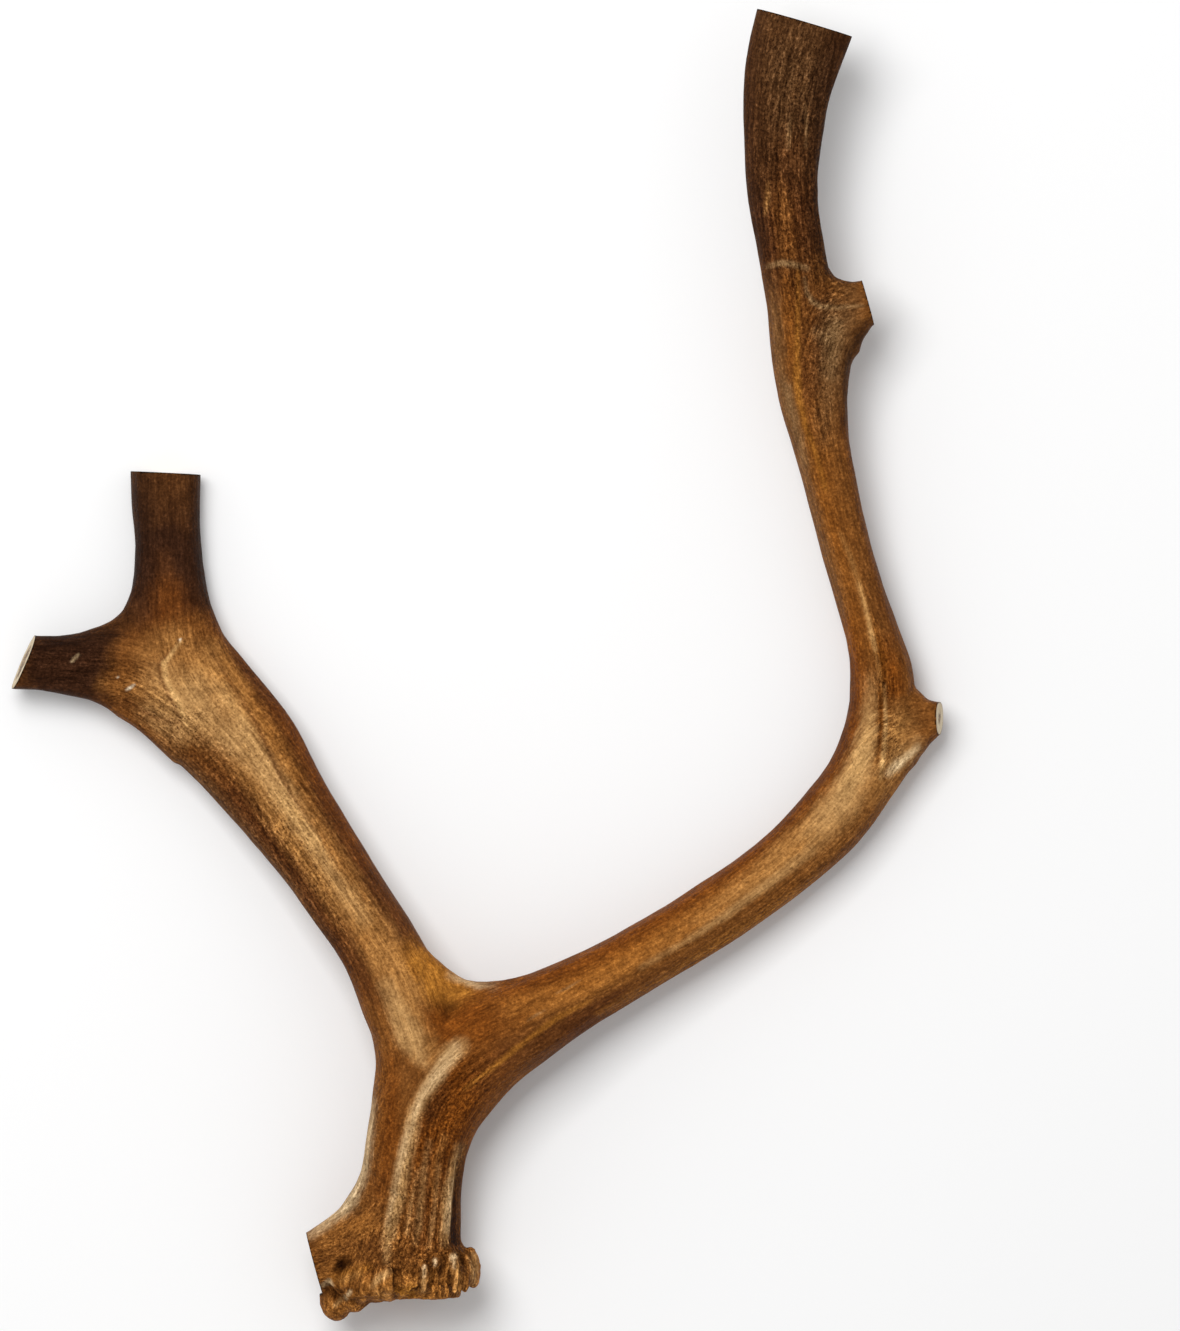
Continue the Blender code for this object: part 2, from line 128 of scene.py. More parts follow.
def fine_line(stations):
    """A limb's middle line at an even, close spacing: points, widths and lengths along it."""
    rows = np.array(stations) * MM
    fine = []
    for i in range(len(rows) - 1):
        a, d = rows[max(i - 1, 0)], rows[min(i + 2, len(rows) - 1)]
        steps = max(1, round(np.linalg.norm(rows[i + 1, :3] - rows[i, :3]) / LINE_SPACING))
        fine += [eased(a, rows[i], rows[i + 1], d, k / steps) for k in range(steps)]
    fine = np.array(fine + [rows[-1]])
    points = fine[:, :3]
    steps = np.linalg.norm(np.diff(points, axis=0), axis=1)
    return points, fine[:, 3], np.concatenate([[0], np.cumsum(steps)])


def straightened(places, stations):
    """Each place in a limb's own frame (along, aside, above), and how far out it is in half widths."""
    points, widths, lengths = fine_line(stations)
    along = np.gradient(points, axis=0)
    along /= np.linalg.norm(along, axis=1)[:, None]
    aside = np.stack([along[:, 1], -along[:, 0], np.zeros(len(along))], axis=1)
    aside /= np.linalg.norm(aside, axis=1)[:, None]
    above = np.cross(aside, along)
    found = np.empty((len(places), 3))
    reach = np.empty(len(places))
    for start in range(0, len(places), BATCH):
        part = slice(start, start + BATCH)
        away = places[part, None, :] - points[None, :, :]
        square = (away**2).sum(2)
        near = np.exp((square.min(1)[:, None] - square) / (2 * LINE_SOFTNESS**2))
        near /= near.sum(1)[:, None]
        found[part, 0] = (near * (lengths[None] + (away * along[None]).sum(2))).sum(1)
        found[part, 1] = (near * (away * aside[None]).sum(2)).sum(1)
        found[part, 2] = (near * (away * above[None]).sum(2)).sum(1)
        reach[part] = np.sqrt(square.min(1)) / ((near * widths[None]).sum(1) / 2)
    return found, reach


def grain(places, limbs, offset):
    """The straightened place along the nearest of a set of limbs, and how far out it is."""
    best, nearest = None, None
    for i, stations in enumerate(limbs):
        found, reach = straightened(places, stations)
        found[:, 0] += offset + 0.5 * i
        if best is None:
            best, nearest = found, reach
        else:
            closer = reach < nearest
            best[closer] = found[closer]
            nearest = np.minimum(nearest, reach)
    return best, nearest


# Strokes

# Colours in sRGB, 0 to 255: those of the stain and of its painted shade and highlights, then those of a
# sawn face.
PALETTE = {
    "char": (37, 19, 9),
    "bark": (53, 29, 15),
    "umber": (90, 50, 21),
    "brown": (115, 69, 28),
    "chestnut": (111, 59, 16),
    "sienna": (132, 76, 24),
    "amber": (160, 102, 37),
    "caramel": (152, 96, 41),
    "honey": (163, 112, 58),
    "tan": (178, 134, 82),
    "straw": (198, 152, 94),
    "bone": (206, 174, 130),
    "ash": (106, 74, 43),
    "stone": (137, 103, 65),
    # Painted shade: this near-black is laid in the burr's gaps, its hollow and the stem's groove, and
    # once, weakly, along the elbow's upper edge.
    "shade_and_stain": (54, 25, 6),
    "ivory": (226, 210, 180),
    "shell": (222, 205, 172),
    "shell_shade": (200, 176, 136),
    "saw_mark": (150, 120, 84),
    "hollow": (88, 58, 34),
    "sponge": (176, 146, 106),
    "rind": (96, 62, 36),
}

# The strokes of stain, painted shade and painted highlight, from the first laid down to the last: a
# colour, a softness, a strength, and the points (x, y, width). All lengths are in the photograph's
# pixels. Softness is how far the edge fades.
STROKES = [
    # The upper bez point.
    ("umber", 26, 1, [(170, 640, 80), (168, 600, 90)]),
    ("bark", 24, 1, [(165, 440, 122), (167, 560, 102), (168, 586, 87), (172, 606, 60)]),
    ("char", 10, 0.8, [(138, 470, 32), (140, 530, 23), (133, 585, 15), (122, 612, 18)]),
    ("char", 10, 0.7, [(198, 470, 19), (199, 540, 14), (203, 590, 14), (212, 615, 16)]),
    ("umber", 10, 0.6, [(163, 556, 12), (168, 590, 19), (172, 620, 38)]),
    ("chestnut", 16, 0.5, [(168, 596, 30), (172, 625, 40)]),
    # The front point.
    ("umber", 26, 0.9, [(112, 668, 80), (90, 668, 80)]),
    ("bark", 22, 1, [(0, 664, 111), (60, 667, 91), (85, 668, 79), (104, 670, 58)]),
    ("char", 10, 0.8, [(20, 644, 20), (80, 640, 19), (112, 634, 23), (128, 618, 18)]),
    # The bez palm.
    ("caramel", 12, 0.5, [(106, 684, 12), (118, 686, 22)]),
    ("brown", 14, 0.8, [(140, 665, 60), (190, 640, 50)]),
    ("honey", 14, 0.7, [(150, 655, 24), (172, 642, 26), (190, 648, 22)]),
    ("honey", 16, 0.9, [(150, 690, 35), (180, 690, 58), (205, 680, 51), (215, 700, 73)]),
    ("tan", 18, 0.8, [(165, 680, 29), (190, 700, 48), (245, 755, 22)]),
    ("tan", 12, 0.5, [(150, 712, 20), (180, 735, 20)]),
    ("umber", 14, 0.8, [(122, 722, 14), (150, 745, 16), (185, 775, 29)]),
    ("honey", 8, 0.9, [(214, 648, 18), (228, 675, 18), (246, 710, 18), (266, 738, 18),
     (288, 770, 15)]),
    ("caramel", 8, 0.6, [(226, 658, 13), (272, 736, 17), (292, 776, 15)]),
    ("straw", 9, 0.7, [(222, 688, 9), (246, 728, 10), (268, 770, 13)]),
    # The bez tine.
    ("umber", 8, 1, [(216, 618, 18), (238, 650, 19), (271, 694, 26), (298, 734, 26), (321, 776, 26),
     (336, 820, 26), (358, 858, 19), (381, 896, 25), (402, 930, 23), (418, 952, 16)]),
    ("chestnut", 8, 0.7, [(278, 708, 12), (306, 752, 12), (366, 862, 10)]),
    ("umber", 14, 1, [(196, 776, 49), (232, 808, 54), (262, 840, 52), (312, 912, 42),
     (335, 955, 35), (350, 985, 26)]),
    ("ash", 10, 0.6, [(160, 752, 24), (205, 792, 22), (285, 885, 16), (325, 945, 19)]),
    ("honey", 12, 1, [(250, 765, 30), (285, 806, 43), (360, 915, 35), (385, 955, 43)]),
    ("tan", 9, 0.9, [(236, 735, 30), (262, 765, 24), (290, 805, 23), (330, 868, 13),
     (362, 915, 18)]),
    ("straw", 8, 0.8, [(278, 792, 12), (298, 818, 14), (315, 842, 10)]),
    ("sienna", 6, 0.6, [(300, 800, 7), (325, 840, 5), (350, 880, 7)]),
    # The bez root and the fork.
    ("umber", 9, 0.9, [(346, 936, 19), (358, 962, 18), (368, 985, 15), (374, 1002, 13)]),
    ("amber", 12, 1, [(412, 954, 24), (428, 968, 44), (448, 985, 46), (472, 1000, 32)]),
    ("honey", 10, 1, [(386, 960, 28), (406, 990, 28), (416, 1020, 28), (424, 1045, 34)]),
    ("tan", 7, 0.9, [(388, 985, 17), (400, 1012, 20), (411, 1036, 25), (420, 1054, 14),
     (426, 1064, 6)]),
    ("bone", 5, 0.7, [(450, 974, 6), (460, 979, 5), (478, 985, 6), (496, 986, 6)]),
    ("chestnut", 12, 1, [(424, 1006, 10), (440, 1020, 29), (452, 1028, 34), (475, 1018, 44),
     (510, 1008, 49)]),
    # The stem.
    ("chestnut", 8, 0.9, [(392, 1060, 14), (393, 1100, 16), (390, 1140, 18), (382, 1190, 17)]),
    ("chestnut", 16, 1, [(490, 1062, 54), (458, 1090, 60), (440, 1130, 60), (432, 1160, 49),
     (428, 1190, 33), (428, 1230, 29)]),
    ("umber", 12, 0.8, [(545, 1032, 20), (508, 1056, 30), (482, 1082, 29)]),
    ("bark", 9, 0.6, [(446, 1084, 13), (432, 1110, 16), (424, 1130, 9)]),
    ("honey", 6, 0.5, [(445, 1135, 7), (438, 1160, 6), (434, 1190, 8)]),
    ("tan", 5, 0.6, [(430, 1140, 3), (425, 1165, 5), (419, 1225, 6), (416, 1240, 3.5)]),
    ("tan", 4, 0.5, [(418, 1170, 3), (412, 1200, 3), (408, 1230, 4)]),
    ("tan", 4, 0.5, [(440, 1165, 4), (433, 1225, 4), (430, 1245, 3)]),
    ("umber", 4, 0.8, [(432, 1150, 3), (426, 1215, 4), (424, 1245, 5)]),
    ("stone", 9, 0.8, [(372, 1085, 6), (371, 1110, 6), (363, 1170, 12), (349, 1200, 17),
     (322, 1226, 18)]),
    ("bone", 6, 1, [(372, 1100, 5), (370, 1127, 5), (366, 1152, 7), (361, 1172, 10),
     (346, 1206, 12), (320, 1227, 9), (312, 1233, 9)]),
    ("tan", 6, 1, [(460, 1045, 17), (453, 1050, 17), (423, 1095, 12), (415.5, 1112, 11),
     (399, 1190, 13), (388, 1240, 7), (388, 1258, 3.5)]),
    ("bone", 4, 0.5, [(457, 1047, 12), (440, 1070, 12), (423, 1094, 8), (415, 1113, 6),
     (406, 1142, 7), (389, 1222, 4)]),
    ("tan", 5, 1, [(460, 1145, 7), (455, 1165, 7), (450, 1190, 10), (448, 1215, 10),
     (445.5, 1240, 8)]),
    ("bone", 3, 0.6, [(452, 1178, 5), (449, 1205, 5), (447, 1230, 4)]),
    # Painted shade: a near-black line down the groove at the stem's right side, widening where it meets
    # the burr.
    ("shade_and_stain", 5, 1, [(464, 1130, 2.5), (460, 1160, 3), (455, 1240, 10), (460, 1258, 12)]),
    # The brow stub and the burr.
    ("caramel", 14, 0.8, [(335, 1242, 49), (362, 1225, 24), (330, 1262, 31)]),
    # Painted light: a lighter caramel along the burr's underside, set against the shade that side falls
    # in.
    ("caramel", 12, 0.8, [(336, 1306, 32), (375, 1290, 30), (430, 1284, 36), (474, 1270, 37)]),
    ("umber", 10, 0.5, [(312, 1240, 12), (318, 1262, 9), (352, 1240, 17), (380, 1245, 14)]),
    # Painted shade in the burr's hollow.
    ("shade_and_stain", 4, 0.9, [(336, 1267, 6), (342, 1263, 12), (350, 1258, 6)]),
    ("amber", 6, 0.7, [(335, 1280, 10), (345, 1275, 10), (370, 1264, 6)]),
    ("honey", 4, 0.8, [(340, 1278, 5), (351, 1275, 6), (361, 1270, 5)]),
    # Painted shade in the burr's grooves below the brow stub.
    ("shade_and_stain", 6, 0.6, [(327, 1291, 16), (337, 1289, 6), (348, 1299, 5), (358, 1296, 8),
     (368, 1290, 8)]),
    ("bone", 2, 1, [(323, 1284, 4), (330, 1280, 5), (333, 1283, 3)]),
    ("bone", 2, 0.8, [(345, 1297, 3.5), (351, 1289, 4)]),
    ("tan", 2, 0.7, [(336, 1304, 4), (340, 1299, 4)]),
    ("tan", 3, 0.9, [(374, 1283, 5), (381, 1275, 6), (390, 1268, 5)]),
    ("honey", 5, 0.6, [(380, 1290, 10), (388, 1290, 8)]),
    # Painted shade down the crease in the burr's block.
    ("shade_and_stain", 3, 0.9, [(394.5, 1266, 2.5), (395, 1282, 2), (395, 1294, 2.5)]),
    ("amber", 5, 1, [(400, 1289, 10), (412, 1289, 12)]),
    ("tan", 3, 0.9, [(425, 1266, 6), (424.5, 1276, 5), (424, 1288, 5)]),
    ("bone", 2, 0.6, [(425.5, 1263, 3.5), (425, 1272, 2.5)]),
    ("bone", 2, 0.7, [(435.5, 1257, 4), (436, 1262, 2.5)]),
    ("honey", 4, 1, [(454.5, 1256, 11), (456, 1268, 9), (458, 1286, 11)]),
    ("bone", 2.5, 0.7, [(454, 1254, 6), (455, 1264, 3)]),
    ("tan", 3, 0.8, [(474, 1256, 10), (475, 1268, 7), (474, 1282, 6)]),
    # Painted shade in the gaps between the burr's beads.
    ("shade_and_stain", 2.5, 0.8, [(430, 1262, 5), (431, 1276, 3), (430, 1290, 2.5)]),
    ("shade_and_stain", 2.5, 0.9, [(442, 1258, 6), (440, 1270, 6), (439, 1280, 3)]),
    ("shade_and_stain", 2.5, 0.9, [(450, 1262, 2.5), (451, 1280, 2.5), (451, 1294, 3)]),
    ("shade_and_stain", 3, 1, [(463, 1256, 6), (463, 1270, 4), (463, 1288, 3.5)]),
    ("shade_and_stain", 2, 0.7, [(470, 1272, 2), (470, 1286, 2)]),
    ("shade_and_stain", 2.5, 0.7, [(418, 1278, 3), (418, 1290, 2)]),
    # The lower beam.
    ("caramel", 16, 0.9, [(520, 1004, 31), (580, 984, 37), (700, 916, 44), (745, 886, 49)]),
    ("honey", 16, 0.9, [(700, 920, 15), (760, 876, 37), (810, 835, 50), (845, 790, 56)]),
    ("sienna", 12, 0.6, [(520, 1000, 33), (580, 976, 28), (640, 942, 20), (760, 858, 13)]),
    ("umber", 10, 1, [(540, 1050, 37), (575, 1028, 34), (670, 972, 29), (720, 940, 25)]),
    ("brown", 10, 0.9, [(640, 984, 28), (700, 948, 32), (800, 880, 32), (840, 845, 28)]),
    # Painted highlight: a thin tan line along the ridge between the beam's two faces.
    ("tan", 4, 0.7, [(640, 967, 3), (690, 938, 4), (725, 915, 7), (770, 882, 9), (810, 850, 11)]),
    ("amber", 6, 0.5, [(600, 1014, 6), (660, 982, 5), (760, 920, 7), (820, 878, 11)]),
    ("amber", 3, 0.8, [(466, 1086, 3.5), (500, 1060, 4), (530, 1036, 4), (560, 1015, 4),
     (590, 1000, 2.5)]),
    # The elbow.
    ("tan", 12, 0.9, [(815, 832, 25), (840, 802, 30), (856, 768, 32), (866, 735, 20),
     (868, 680, 8)]),
    ("straw", 8, 0.8, [(846, 790, 13), (858, 768, 16), (866, 742, 12), (869, 718, 7)]),
    ("chestnut", 9, 1, [(480, 994, 12), (520, 985, 17), (562, 969, 20), (604, 950, 20),
     (682, 903, 20), (742, 860, 20), (800, 807, 20), (830, 770, 20), (850, 728, 20), (857, 690, 18),
     (855, 640, 14), (850, 610, 11)]),
    ("shade_and_stain", 7, 0.4, [(770, 838, 7), (812, 790, 11), (840, 742, 14), (850, 700, 14),
     (848, 660, 11)]),
    ("chestnut", 9, 1, [(886, 640, 13), (892, 665, 18), (894, 690, 18), (890, 704, 12)]),
    ("honey", 13, 0.9, [(898, 712, 15), (900, 724, 24), (882, 788, 34)]),
    ("umber", 5, 0.5, [(940, 730, 8), (926, 746, 5), (887, 796, 5), (870, 812, 6)]),
    ("tan", 9, 0.8, [(892, 768, 12), (904, 756, 14), (917, 744, 11)]),
    ("bone", 4, 0.9, [(888, 774, 6), (898, 764, 9), (908, 755, 6), (918, 746, 3)]),
    ("sienna", 4, 1, [(873, 628, 3), (878, 642, 4), (882, 658, 6), (883, 680, 5), (881, 705, 5),
     (881, 735, 3.5), (878, 760, 4)]),
    # Painted highlight: a thin straw line down the lower crest.
    ("straw", 2.5, 1, [(884, 684, 1.5), (885, 706, 1.5), (885, 726, 2.5), (884, 746, 3),
     (881.5, 766, 3.5), (880, 778, 3)]),
    # The upper beam.
    ("sienna", 16, 0.7, [(856, 640, 29), (842, 590, 23), (817, 470, 20), (808, 410, 16)]),
    ("umber", 12, 0.6, [(812, 430, 15), (805, 395, 18), (797, 300, 30)]),
    ("umber", 10, 0.6, [(900, 650, 19), (888, 610, 19), (864, 520, 10), (846, 420, 19),
     (842, 380, 19)]),
    ("ash", 8, 0.7, [(842, 612, 12), (832, 570, 9), (817, 525, 9), (779, 365, 13), (773, 310, 12),
     (770, 280, 10)]),
    ("umber", 8, 0.8, [(822, 300, 22), (818, 350, 14), (815, 390, 13)]),
    ("ash", 12, 0.7, [(848, 298, 29), (838, 320, 39), (832, 360, 30), (824, 440, 12)]),
    ("stone", 8, 0.8, [(816, 334, 8), (830, 340, 16), (834, 326, 12), (830, 375, 11)]),
    ("bark", 22, 0.8, [(800, -20, 199), (792, 60, 153), (787, 120, 120), (785, 230, 85),
     (790, 275, 49)]),
    ("ash", 20, 0.4, [(795, 20, 73), (790, 80, 60), (788, 180, 40)]),
    ("umber", 14, 0.7, [(790, 150, 32), (784, 250, 45), (788, 280, 42)]),
    ("brown", 8, 0.6, [(779, 185, 8), (781, 205, 16), (788, 255, 18), (788, 275, 15)]),
    ("char", 12, 0.6, [(843, 38, 22), (826, 66, 19), (815, 125, 12), (816, 210, 7), (823, 255, 22),
     (832, 274, 22), (850, 284, 10)]),
    ("char", 8, 0.8, [(866, 328, 17), (860, 340, 16), (850, 352, 12), (844, 385, 8),
     (845, 425, 8)]),
    ("stone", 6, 0.7, [(784, 380, 6), (788, 402, 6), (806, 465, 5)]),
    ("char", 8, 0.5, [(752, 20, 14), (746, 90, 10), (748, 180, 10), (758, 250, 10)]),
    ("bark", 8, 0.7, [(752, 186, 11), (760, 240, 14), (769, 288, 11)]),
    ("honey", 3, 0.6, [(767, 186, 2), (766, 205, 3), (765, 216, 1.5)]),
    ("stone", 3, 0.6, [(789, 122, 2), (788, 138, 3), (787, 152, 2)]),
    ("stone", 2, 0.5, [(804, 108, 1), (805, 126, 2), (805, 150, 1.5)]),
    ("amber", 3, 0.8, [(797, 272, 2), (796, 380, 6), (799, 405, 5), (806, 430, 4), (816, 457, 3),
     (825, 490, 3.5)]),
    ("sienna", 5, 0.6, [(787, 285, 11), (790, 350, 7), (788, 380, 7)]),
    # The pale crest, partly its own colour and partly painted highlight.
    ("honey", 3, 0.9, [(840, 534, 2.5), (850, 558, 3.5), (863, 600, 5), (872, 638, 5),
     (877, 658, 2.5), (884, 698, 1.5)]),
    # Painted highlight: a whitish line on the crest's upper part.
    ("straw", 2.5, 0.8, [(858, 584, 1), (864, 603, 1), (872, 638, 2.5), (875, 650, 2)]),
    # Veins, scratches and chips.
    ("umber", 2.5, 0.8, [(212, 653, 3.5), (257, 724, 4), (278, 771, 4), (300, 808, 2.5),
     (314, 831, 2.5)]),
    ("umber", 2.5, 0.8, [(172, 650, 3.5), (159, 664, 3), (161, 680, 3), (172, 702, 3),
     (182, 724, 3.5)]),
    ("straw", 2.5, 1, [(180, 642, 2.5), (172, 654, 2.5), (164, 664, 4), (166, 678, 4),
     (177, 700, 4), (187, 724, 4)]),
    ("umber", 4, 0.8, [(126, 700, 4), (142, 711, 4), (158, 719, 4), (176, 723, 3)]),
    ("stone", 2.5, 1, [(768, 268, 4), (781, 265, 6), (790, 266, 6), (806, 270, 5)]),
    ("stone", 2.5, 1, [(803, 280, 2), (806, 295, 3), (811, 303, 4), (819, 308, 4), (839, 309, 3),
     (861, 307, 3)]),
    ("char", 2.5, 0.8, [(810, 298, 2.5), (817, 303, 3), (828, 304, 2)]),
    ("stone", 1.5, 0.8, [(528, 1019, 1), (537, 1013, 2), (545, 1009, 1)]),
    ("stone", 1.5, 0.8, [(556, 992, 1), (569, 986, 2), (580, 979, 1)]),
    ("bone", 2, 0.7, [(72, 661, 1.5), (78, 655, 1.5)]),
    ("ivory", 1.5, 1, [(127, 690, 1.5), (130, 688, 2), (134, 685, 1.5)]),
    ("ivory", 1.5, 0.8, [(118, 677, 1)]),
    ("ivory", 1.5, 0.9, [(180, 640, 2)]),
]

# Ridges and grooves: a softness, a height in millimetres, and the points, as for a stroke.
RIDGES = [
    # The crest and groove at the elbow.
    (4, 0.6, [(840, 534, 2.5), (850, 558, 3.5), (858, 584, 4), (868, 620, 7), (873, 640, 7),
     (877, 662, 3.5), (880, 690, 3.5)]),
    (4, -0.9, [(873, 626, 1.5), (878, 642, 3.5), (882, 660, 6), (883, 682, 6), (881, 705, 5),
     (880, 735, 4), (877, 762, 3)]),
    (3, 0.5, [(885, 700, 2), (885, 726, 3), (884, 746, 5), (881, 768, 5), (879, 782, 2)]),
    (12, 0.5, [(868, 700, 16), (866, 735, 18), (856, 768, 23)]),
    (6, 0.4, [(884, 782, 2.5), (898, 765, 10), (912, 751, 8), (926, 738, 5)]),
    # The ridge along the beam, between its two faces.
    (7, 0.4, [(560, 1008, 3), (600, 987, 6), (650, 961, 10), (700, 931, 11), (740, 904, 11),
     (780, 874, 10), (815, 846, 6)]),
    (9, -0.5, [(560, 1030, 18), (620, 994, 18), (700, 948, 18), (770, 900, 15), (830, 850, 8)]),
    # The stripes, fissures and worn edge of the stem.
    (6, 0.5, [(456, 1044, 14), (432, 1074, 12), (415, 1110, 10), (400, 1165, 15), (390, 1215, 11),
     (388, 1250, 8)]),
    (5, 0.4, [(455, 1165, 7), (450, 1190, 9), (446, 1235, 11)]),
    (4, -1, [(458, 1160, 3.5), (457, 1190, 6), (455, 1238, 10)]),
    (3, -0.5, [(412, 1150, 2), (410, 1180, 4), (404, 1215, 4), (402, 1245, 3)]),
    (3, -0.5, [(430, 1140, 2.5), (432, 1170, 4), (430, 1200, 3.5), (433, 1235, 3)]),
    (3, -0.4, [(440, 1150, 2.5), (441, 1190, 4), (438, 1230, 3.5)]),
    (3, -0.4, [(421, 1165, 2.5), (420, 1200, 4), (417, 1240, 3.5)]),
    (4, 0.3, [(470, 1083, 6), (500, 1060, 6), (530, 1036, 6), (560, 1015, 6)]),
    # The palm of the bez tine: veins and the hollow lines along it.
    (3, 0.35, [(178, 637, 2), (164, 663, 4), (167, 676, 4), (180, 701, 3.5), (187, 711, 2)]),
    (4, -0.25, [(126, 700, 2.5), (142, 711, 4), (158, 719, 4), (176, 723, 2)]),
    (5, -0.3, [(212, 653, 5), (236, 690, 6), (257, 724, 6), (278, 771, 6), (300, 808, 5)]),
    (8, -0.25, [(300, 800, 10), (340, 860, 10), (375, 920, 12)]),
    (3, 0.18, [(768, 267, 3), (786, 265, 4), (805, 268, 3)]),
    (3, 0.15, [(803, 275, 3.5), (813, 303, 3), (858, 308, 3.5)]),
    # The burr: its block with a crease, its hollow and its knobs.
    (3, 0.7, [(376, 1274, 11), (388, 1268, 12), (391, 1282, 10), (390, 1294, 11)]),
    (2, -0.9, [(395, 1264, 3), (396, 1280, 4), (396, 1296, 5)]),
    (3, -0.6, [(404, 1287, 7), (413, 1288, 11)]),
    (5, -0.9, [(339, 1266, 8), (344, 1261, 10), (355, 1256, 5)]),
    (4, -0.8, [(336, 1292, 15), (352, 1300, 7)]),
    (3, -0.6, [(366, 1284, 4), (370, 1298, 6)]),
]


# How much of its strength a stroke of more than two points has at its two ends.
END_STRENGTH = 0.6


def stroke_value(pixels, softness, strength, points):
    """A stroke's strength at each pixel place: full inside it, fading across its edge."""
    value = np.zeros(len(pixels))
    strengths = np.full(len(points), float(strength))
    if len(points) > 2:
        strengths[[0, -1]] *= END_STRENGTH
    points = np.column_stack([np.array(points, float), strengths])
    if len(points) == 1:
        points = np.vstack([points, points + (0.01, 0, 0, 0)])
    margin = points[:, 2].max() / 2 + softness
    low = points[:, :2].min(0) - margin
    high = points[:, :2].max(0) + margin
    near = np.flatnonzero(((pixels > low) & (pixels < high)).all(1))
    for start, end in zip(points, points[1:]):
        step = end[:2] - start[:2]
        along = np.clip(((pixels[near] - start[:2]) @ step) / (step @ step), 0, 1)
        gap = np.linalg.norm(pixels[near] - start[:2] - along[:, None] * step, axis=1)
        width = start[2] + along * (end[2] - start[2])
        strength = start[3] + along * (end[3] - start[3])
        cover = np.clip(0.5 + (width / 2 - gap) / (2 * softness), 0, 1)
        found = cover * cover * (3 - 2 * cover) * strength
        stronger = np.abs(found) > np.abs(value[near])
        value[near[stronger]] = found[stronger]
    return value


def linear(name):
    """A palette colour's linear values."""
    values = (v / 255 for v in PALETTE[name])
    return tuple(v / 12.92 if v <= 0.04 else ((v + 0.055) / 1.055) ** 2.4 for v in values)


# A stroke at least this soft is pulled about by the whole warp.
FULL_WARP_SOFTNESS = 12
# Pale colours, of rubbed bone and of painted highlights. They end where the bone turns down.
RUBBED_AND_HIGHLIT = {"bone", "stone", "straw"}


def stained(pixels, warp, upward):
    """The stain's colour, painted shade and highlights at each pixel place, the strokes' edges pulled
    about by the warp.
    """
    colours = np.tile(linear("brown"), (len(pixels), 1))
    for colour, softness, strength, points in STROKES:
        moved = pixels + warp * min(1.0, softness / FULL_WARP_SOFTNESS)
        cover = stroke_value(moved, softness, strength, points)
        if colour in RUBBED_AND_HIGHLIT:
            cover = cover * upward
        colours += (np.array(linear(colour)) - colours) * cover[:, None]
    return colours


# Noise

CORNERS = [(i, j, k) for i in (0, 1) for j in (0, 1) for k in (0, 1)]
# Brings the noise up to about -1 to 1.
NOISE_GAIN = 1.6


def gradient_noise(places, seed=0):
    """Smooth noise from about -1 to 1, one grain to a unit."""
    chance = np.random.default_rng(SEED + seed)
    shuffle = chance.permutation(256)
    gradients = chance.normal(size=(256, 3))
    gradients /= np.linalg.norm(gradients, axis=1)[:, None]
    cell = np.floor(places).astype(int)
    inner = places - cell
    ease = inner**3 * (inner * (inner * 6 - 15) + 10)
    total = np.zeros(len(places))
    for corner in CORNERS:
        x, y, z = ((cell + corner) & 255).T
        slope = gradients[shuffle[(shuffle[(shuffle[x] + y) & 255] + z) & 255]]
        share = np.prod([ease[:, i] if corner[i] else 1 - ease[:, i] for i in range(3)], axis=0)
        total += share * (slope * (inner - corner)).sum(1)
    return total * NOISE_GAIN


def layered_noise(places, layers, seed=0):
    """Noise with finer layers added, each half as strong."""
    return sum(gradient_noise(places * 2**i, seed + i) / 2**i for i in range(layers))


def smoothstep(low, high, value):
    """0 below low and 1 above high, with a soft rise between them."""
    t = np.clip((value - low) / (high - low), 0, 1)
    return t * t * (3 - 2 * t)


# Meshes


def placed(name, data):
    """A new object in the scene."""
    thing = bpy.data.objects.new(name, data)
    bpy.context.scene.collection.objects.link(thing)
    return thing


def modified(mesh, kind, **settings):
    """The mesh as a modifier leaves it."""
    thing = placed("unmodified", mesh)
    modifier = thing.modifiers.new("modifier", kind)
    for name, value in settings.items():
        setattr(modifier, name, value)
    bpy.context.view_layer.update()
    made = bpy.data.meshes.new_from_object(thing.evaluated_get(bpy.context.evaluated_depsgraph_get()))
    bpy.data.objects.remove(thing)
    bpy.data.meshes.remove(mesh)
    return made


def read(items, field, width=1, kind=np.float32):
    """A field of each of a mesh's items, in rows of the given width."""
    values = np.empty(len(items) * width, kind)
    items.foreach_get(field, values)
    return values.reshape(-1, width) if width > 1 else values


def mesh_points(mesh):
    return read(mesh.vertices, "co", 3).astype(float)


def mesh_normals(mesh):
    return read(mesh.vertex_normals, "vector", 3).astype(float)


def set_points(mesh, places):
    mesh.vertices.foreach_set("co", places.astype(np.float32).ravel())
    mesh.update()


def store(mesh, name, values):
    """Keeps values on the mesh's points, for the materials to read."""
    kind, field = ("FLOAT", "value") if values.ndim == 1 else ("FLOAT_VECTOR", "vector")
    attribute = mesh.attributes.new(name, kind, "POINT")
    attribute.data.foreach_set(field, values.astype(np.float32).ravel())


def mesh_edges(mesh):
    """The mesh's edges, and how many of them meet at each point."""
    edges = read(mesh.edges, "vertices", 2, np.int32)
    return edges, np.bincount(edges.ravel(), minlength=len(mesh.vertices))


def faces_on(bm, mount, straightness, slack):
    """The faces on a sawn end: those that face its way, no further off it than the slack."""
    facing, spot = Vector(mount["axis"]), Vector(mount["pos_m"])
    return [
        face
        for face in bm.faces
        if face.normal.dot(facing) > straightness
        and abs((face.calc_center_median() - spot).dot(facing)) < slack
    ]


# The skin


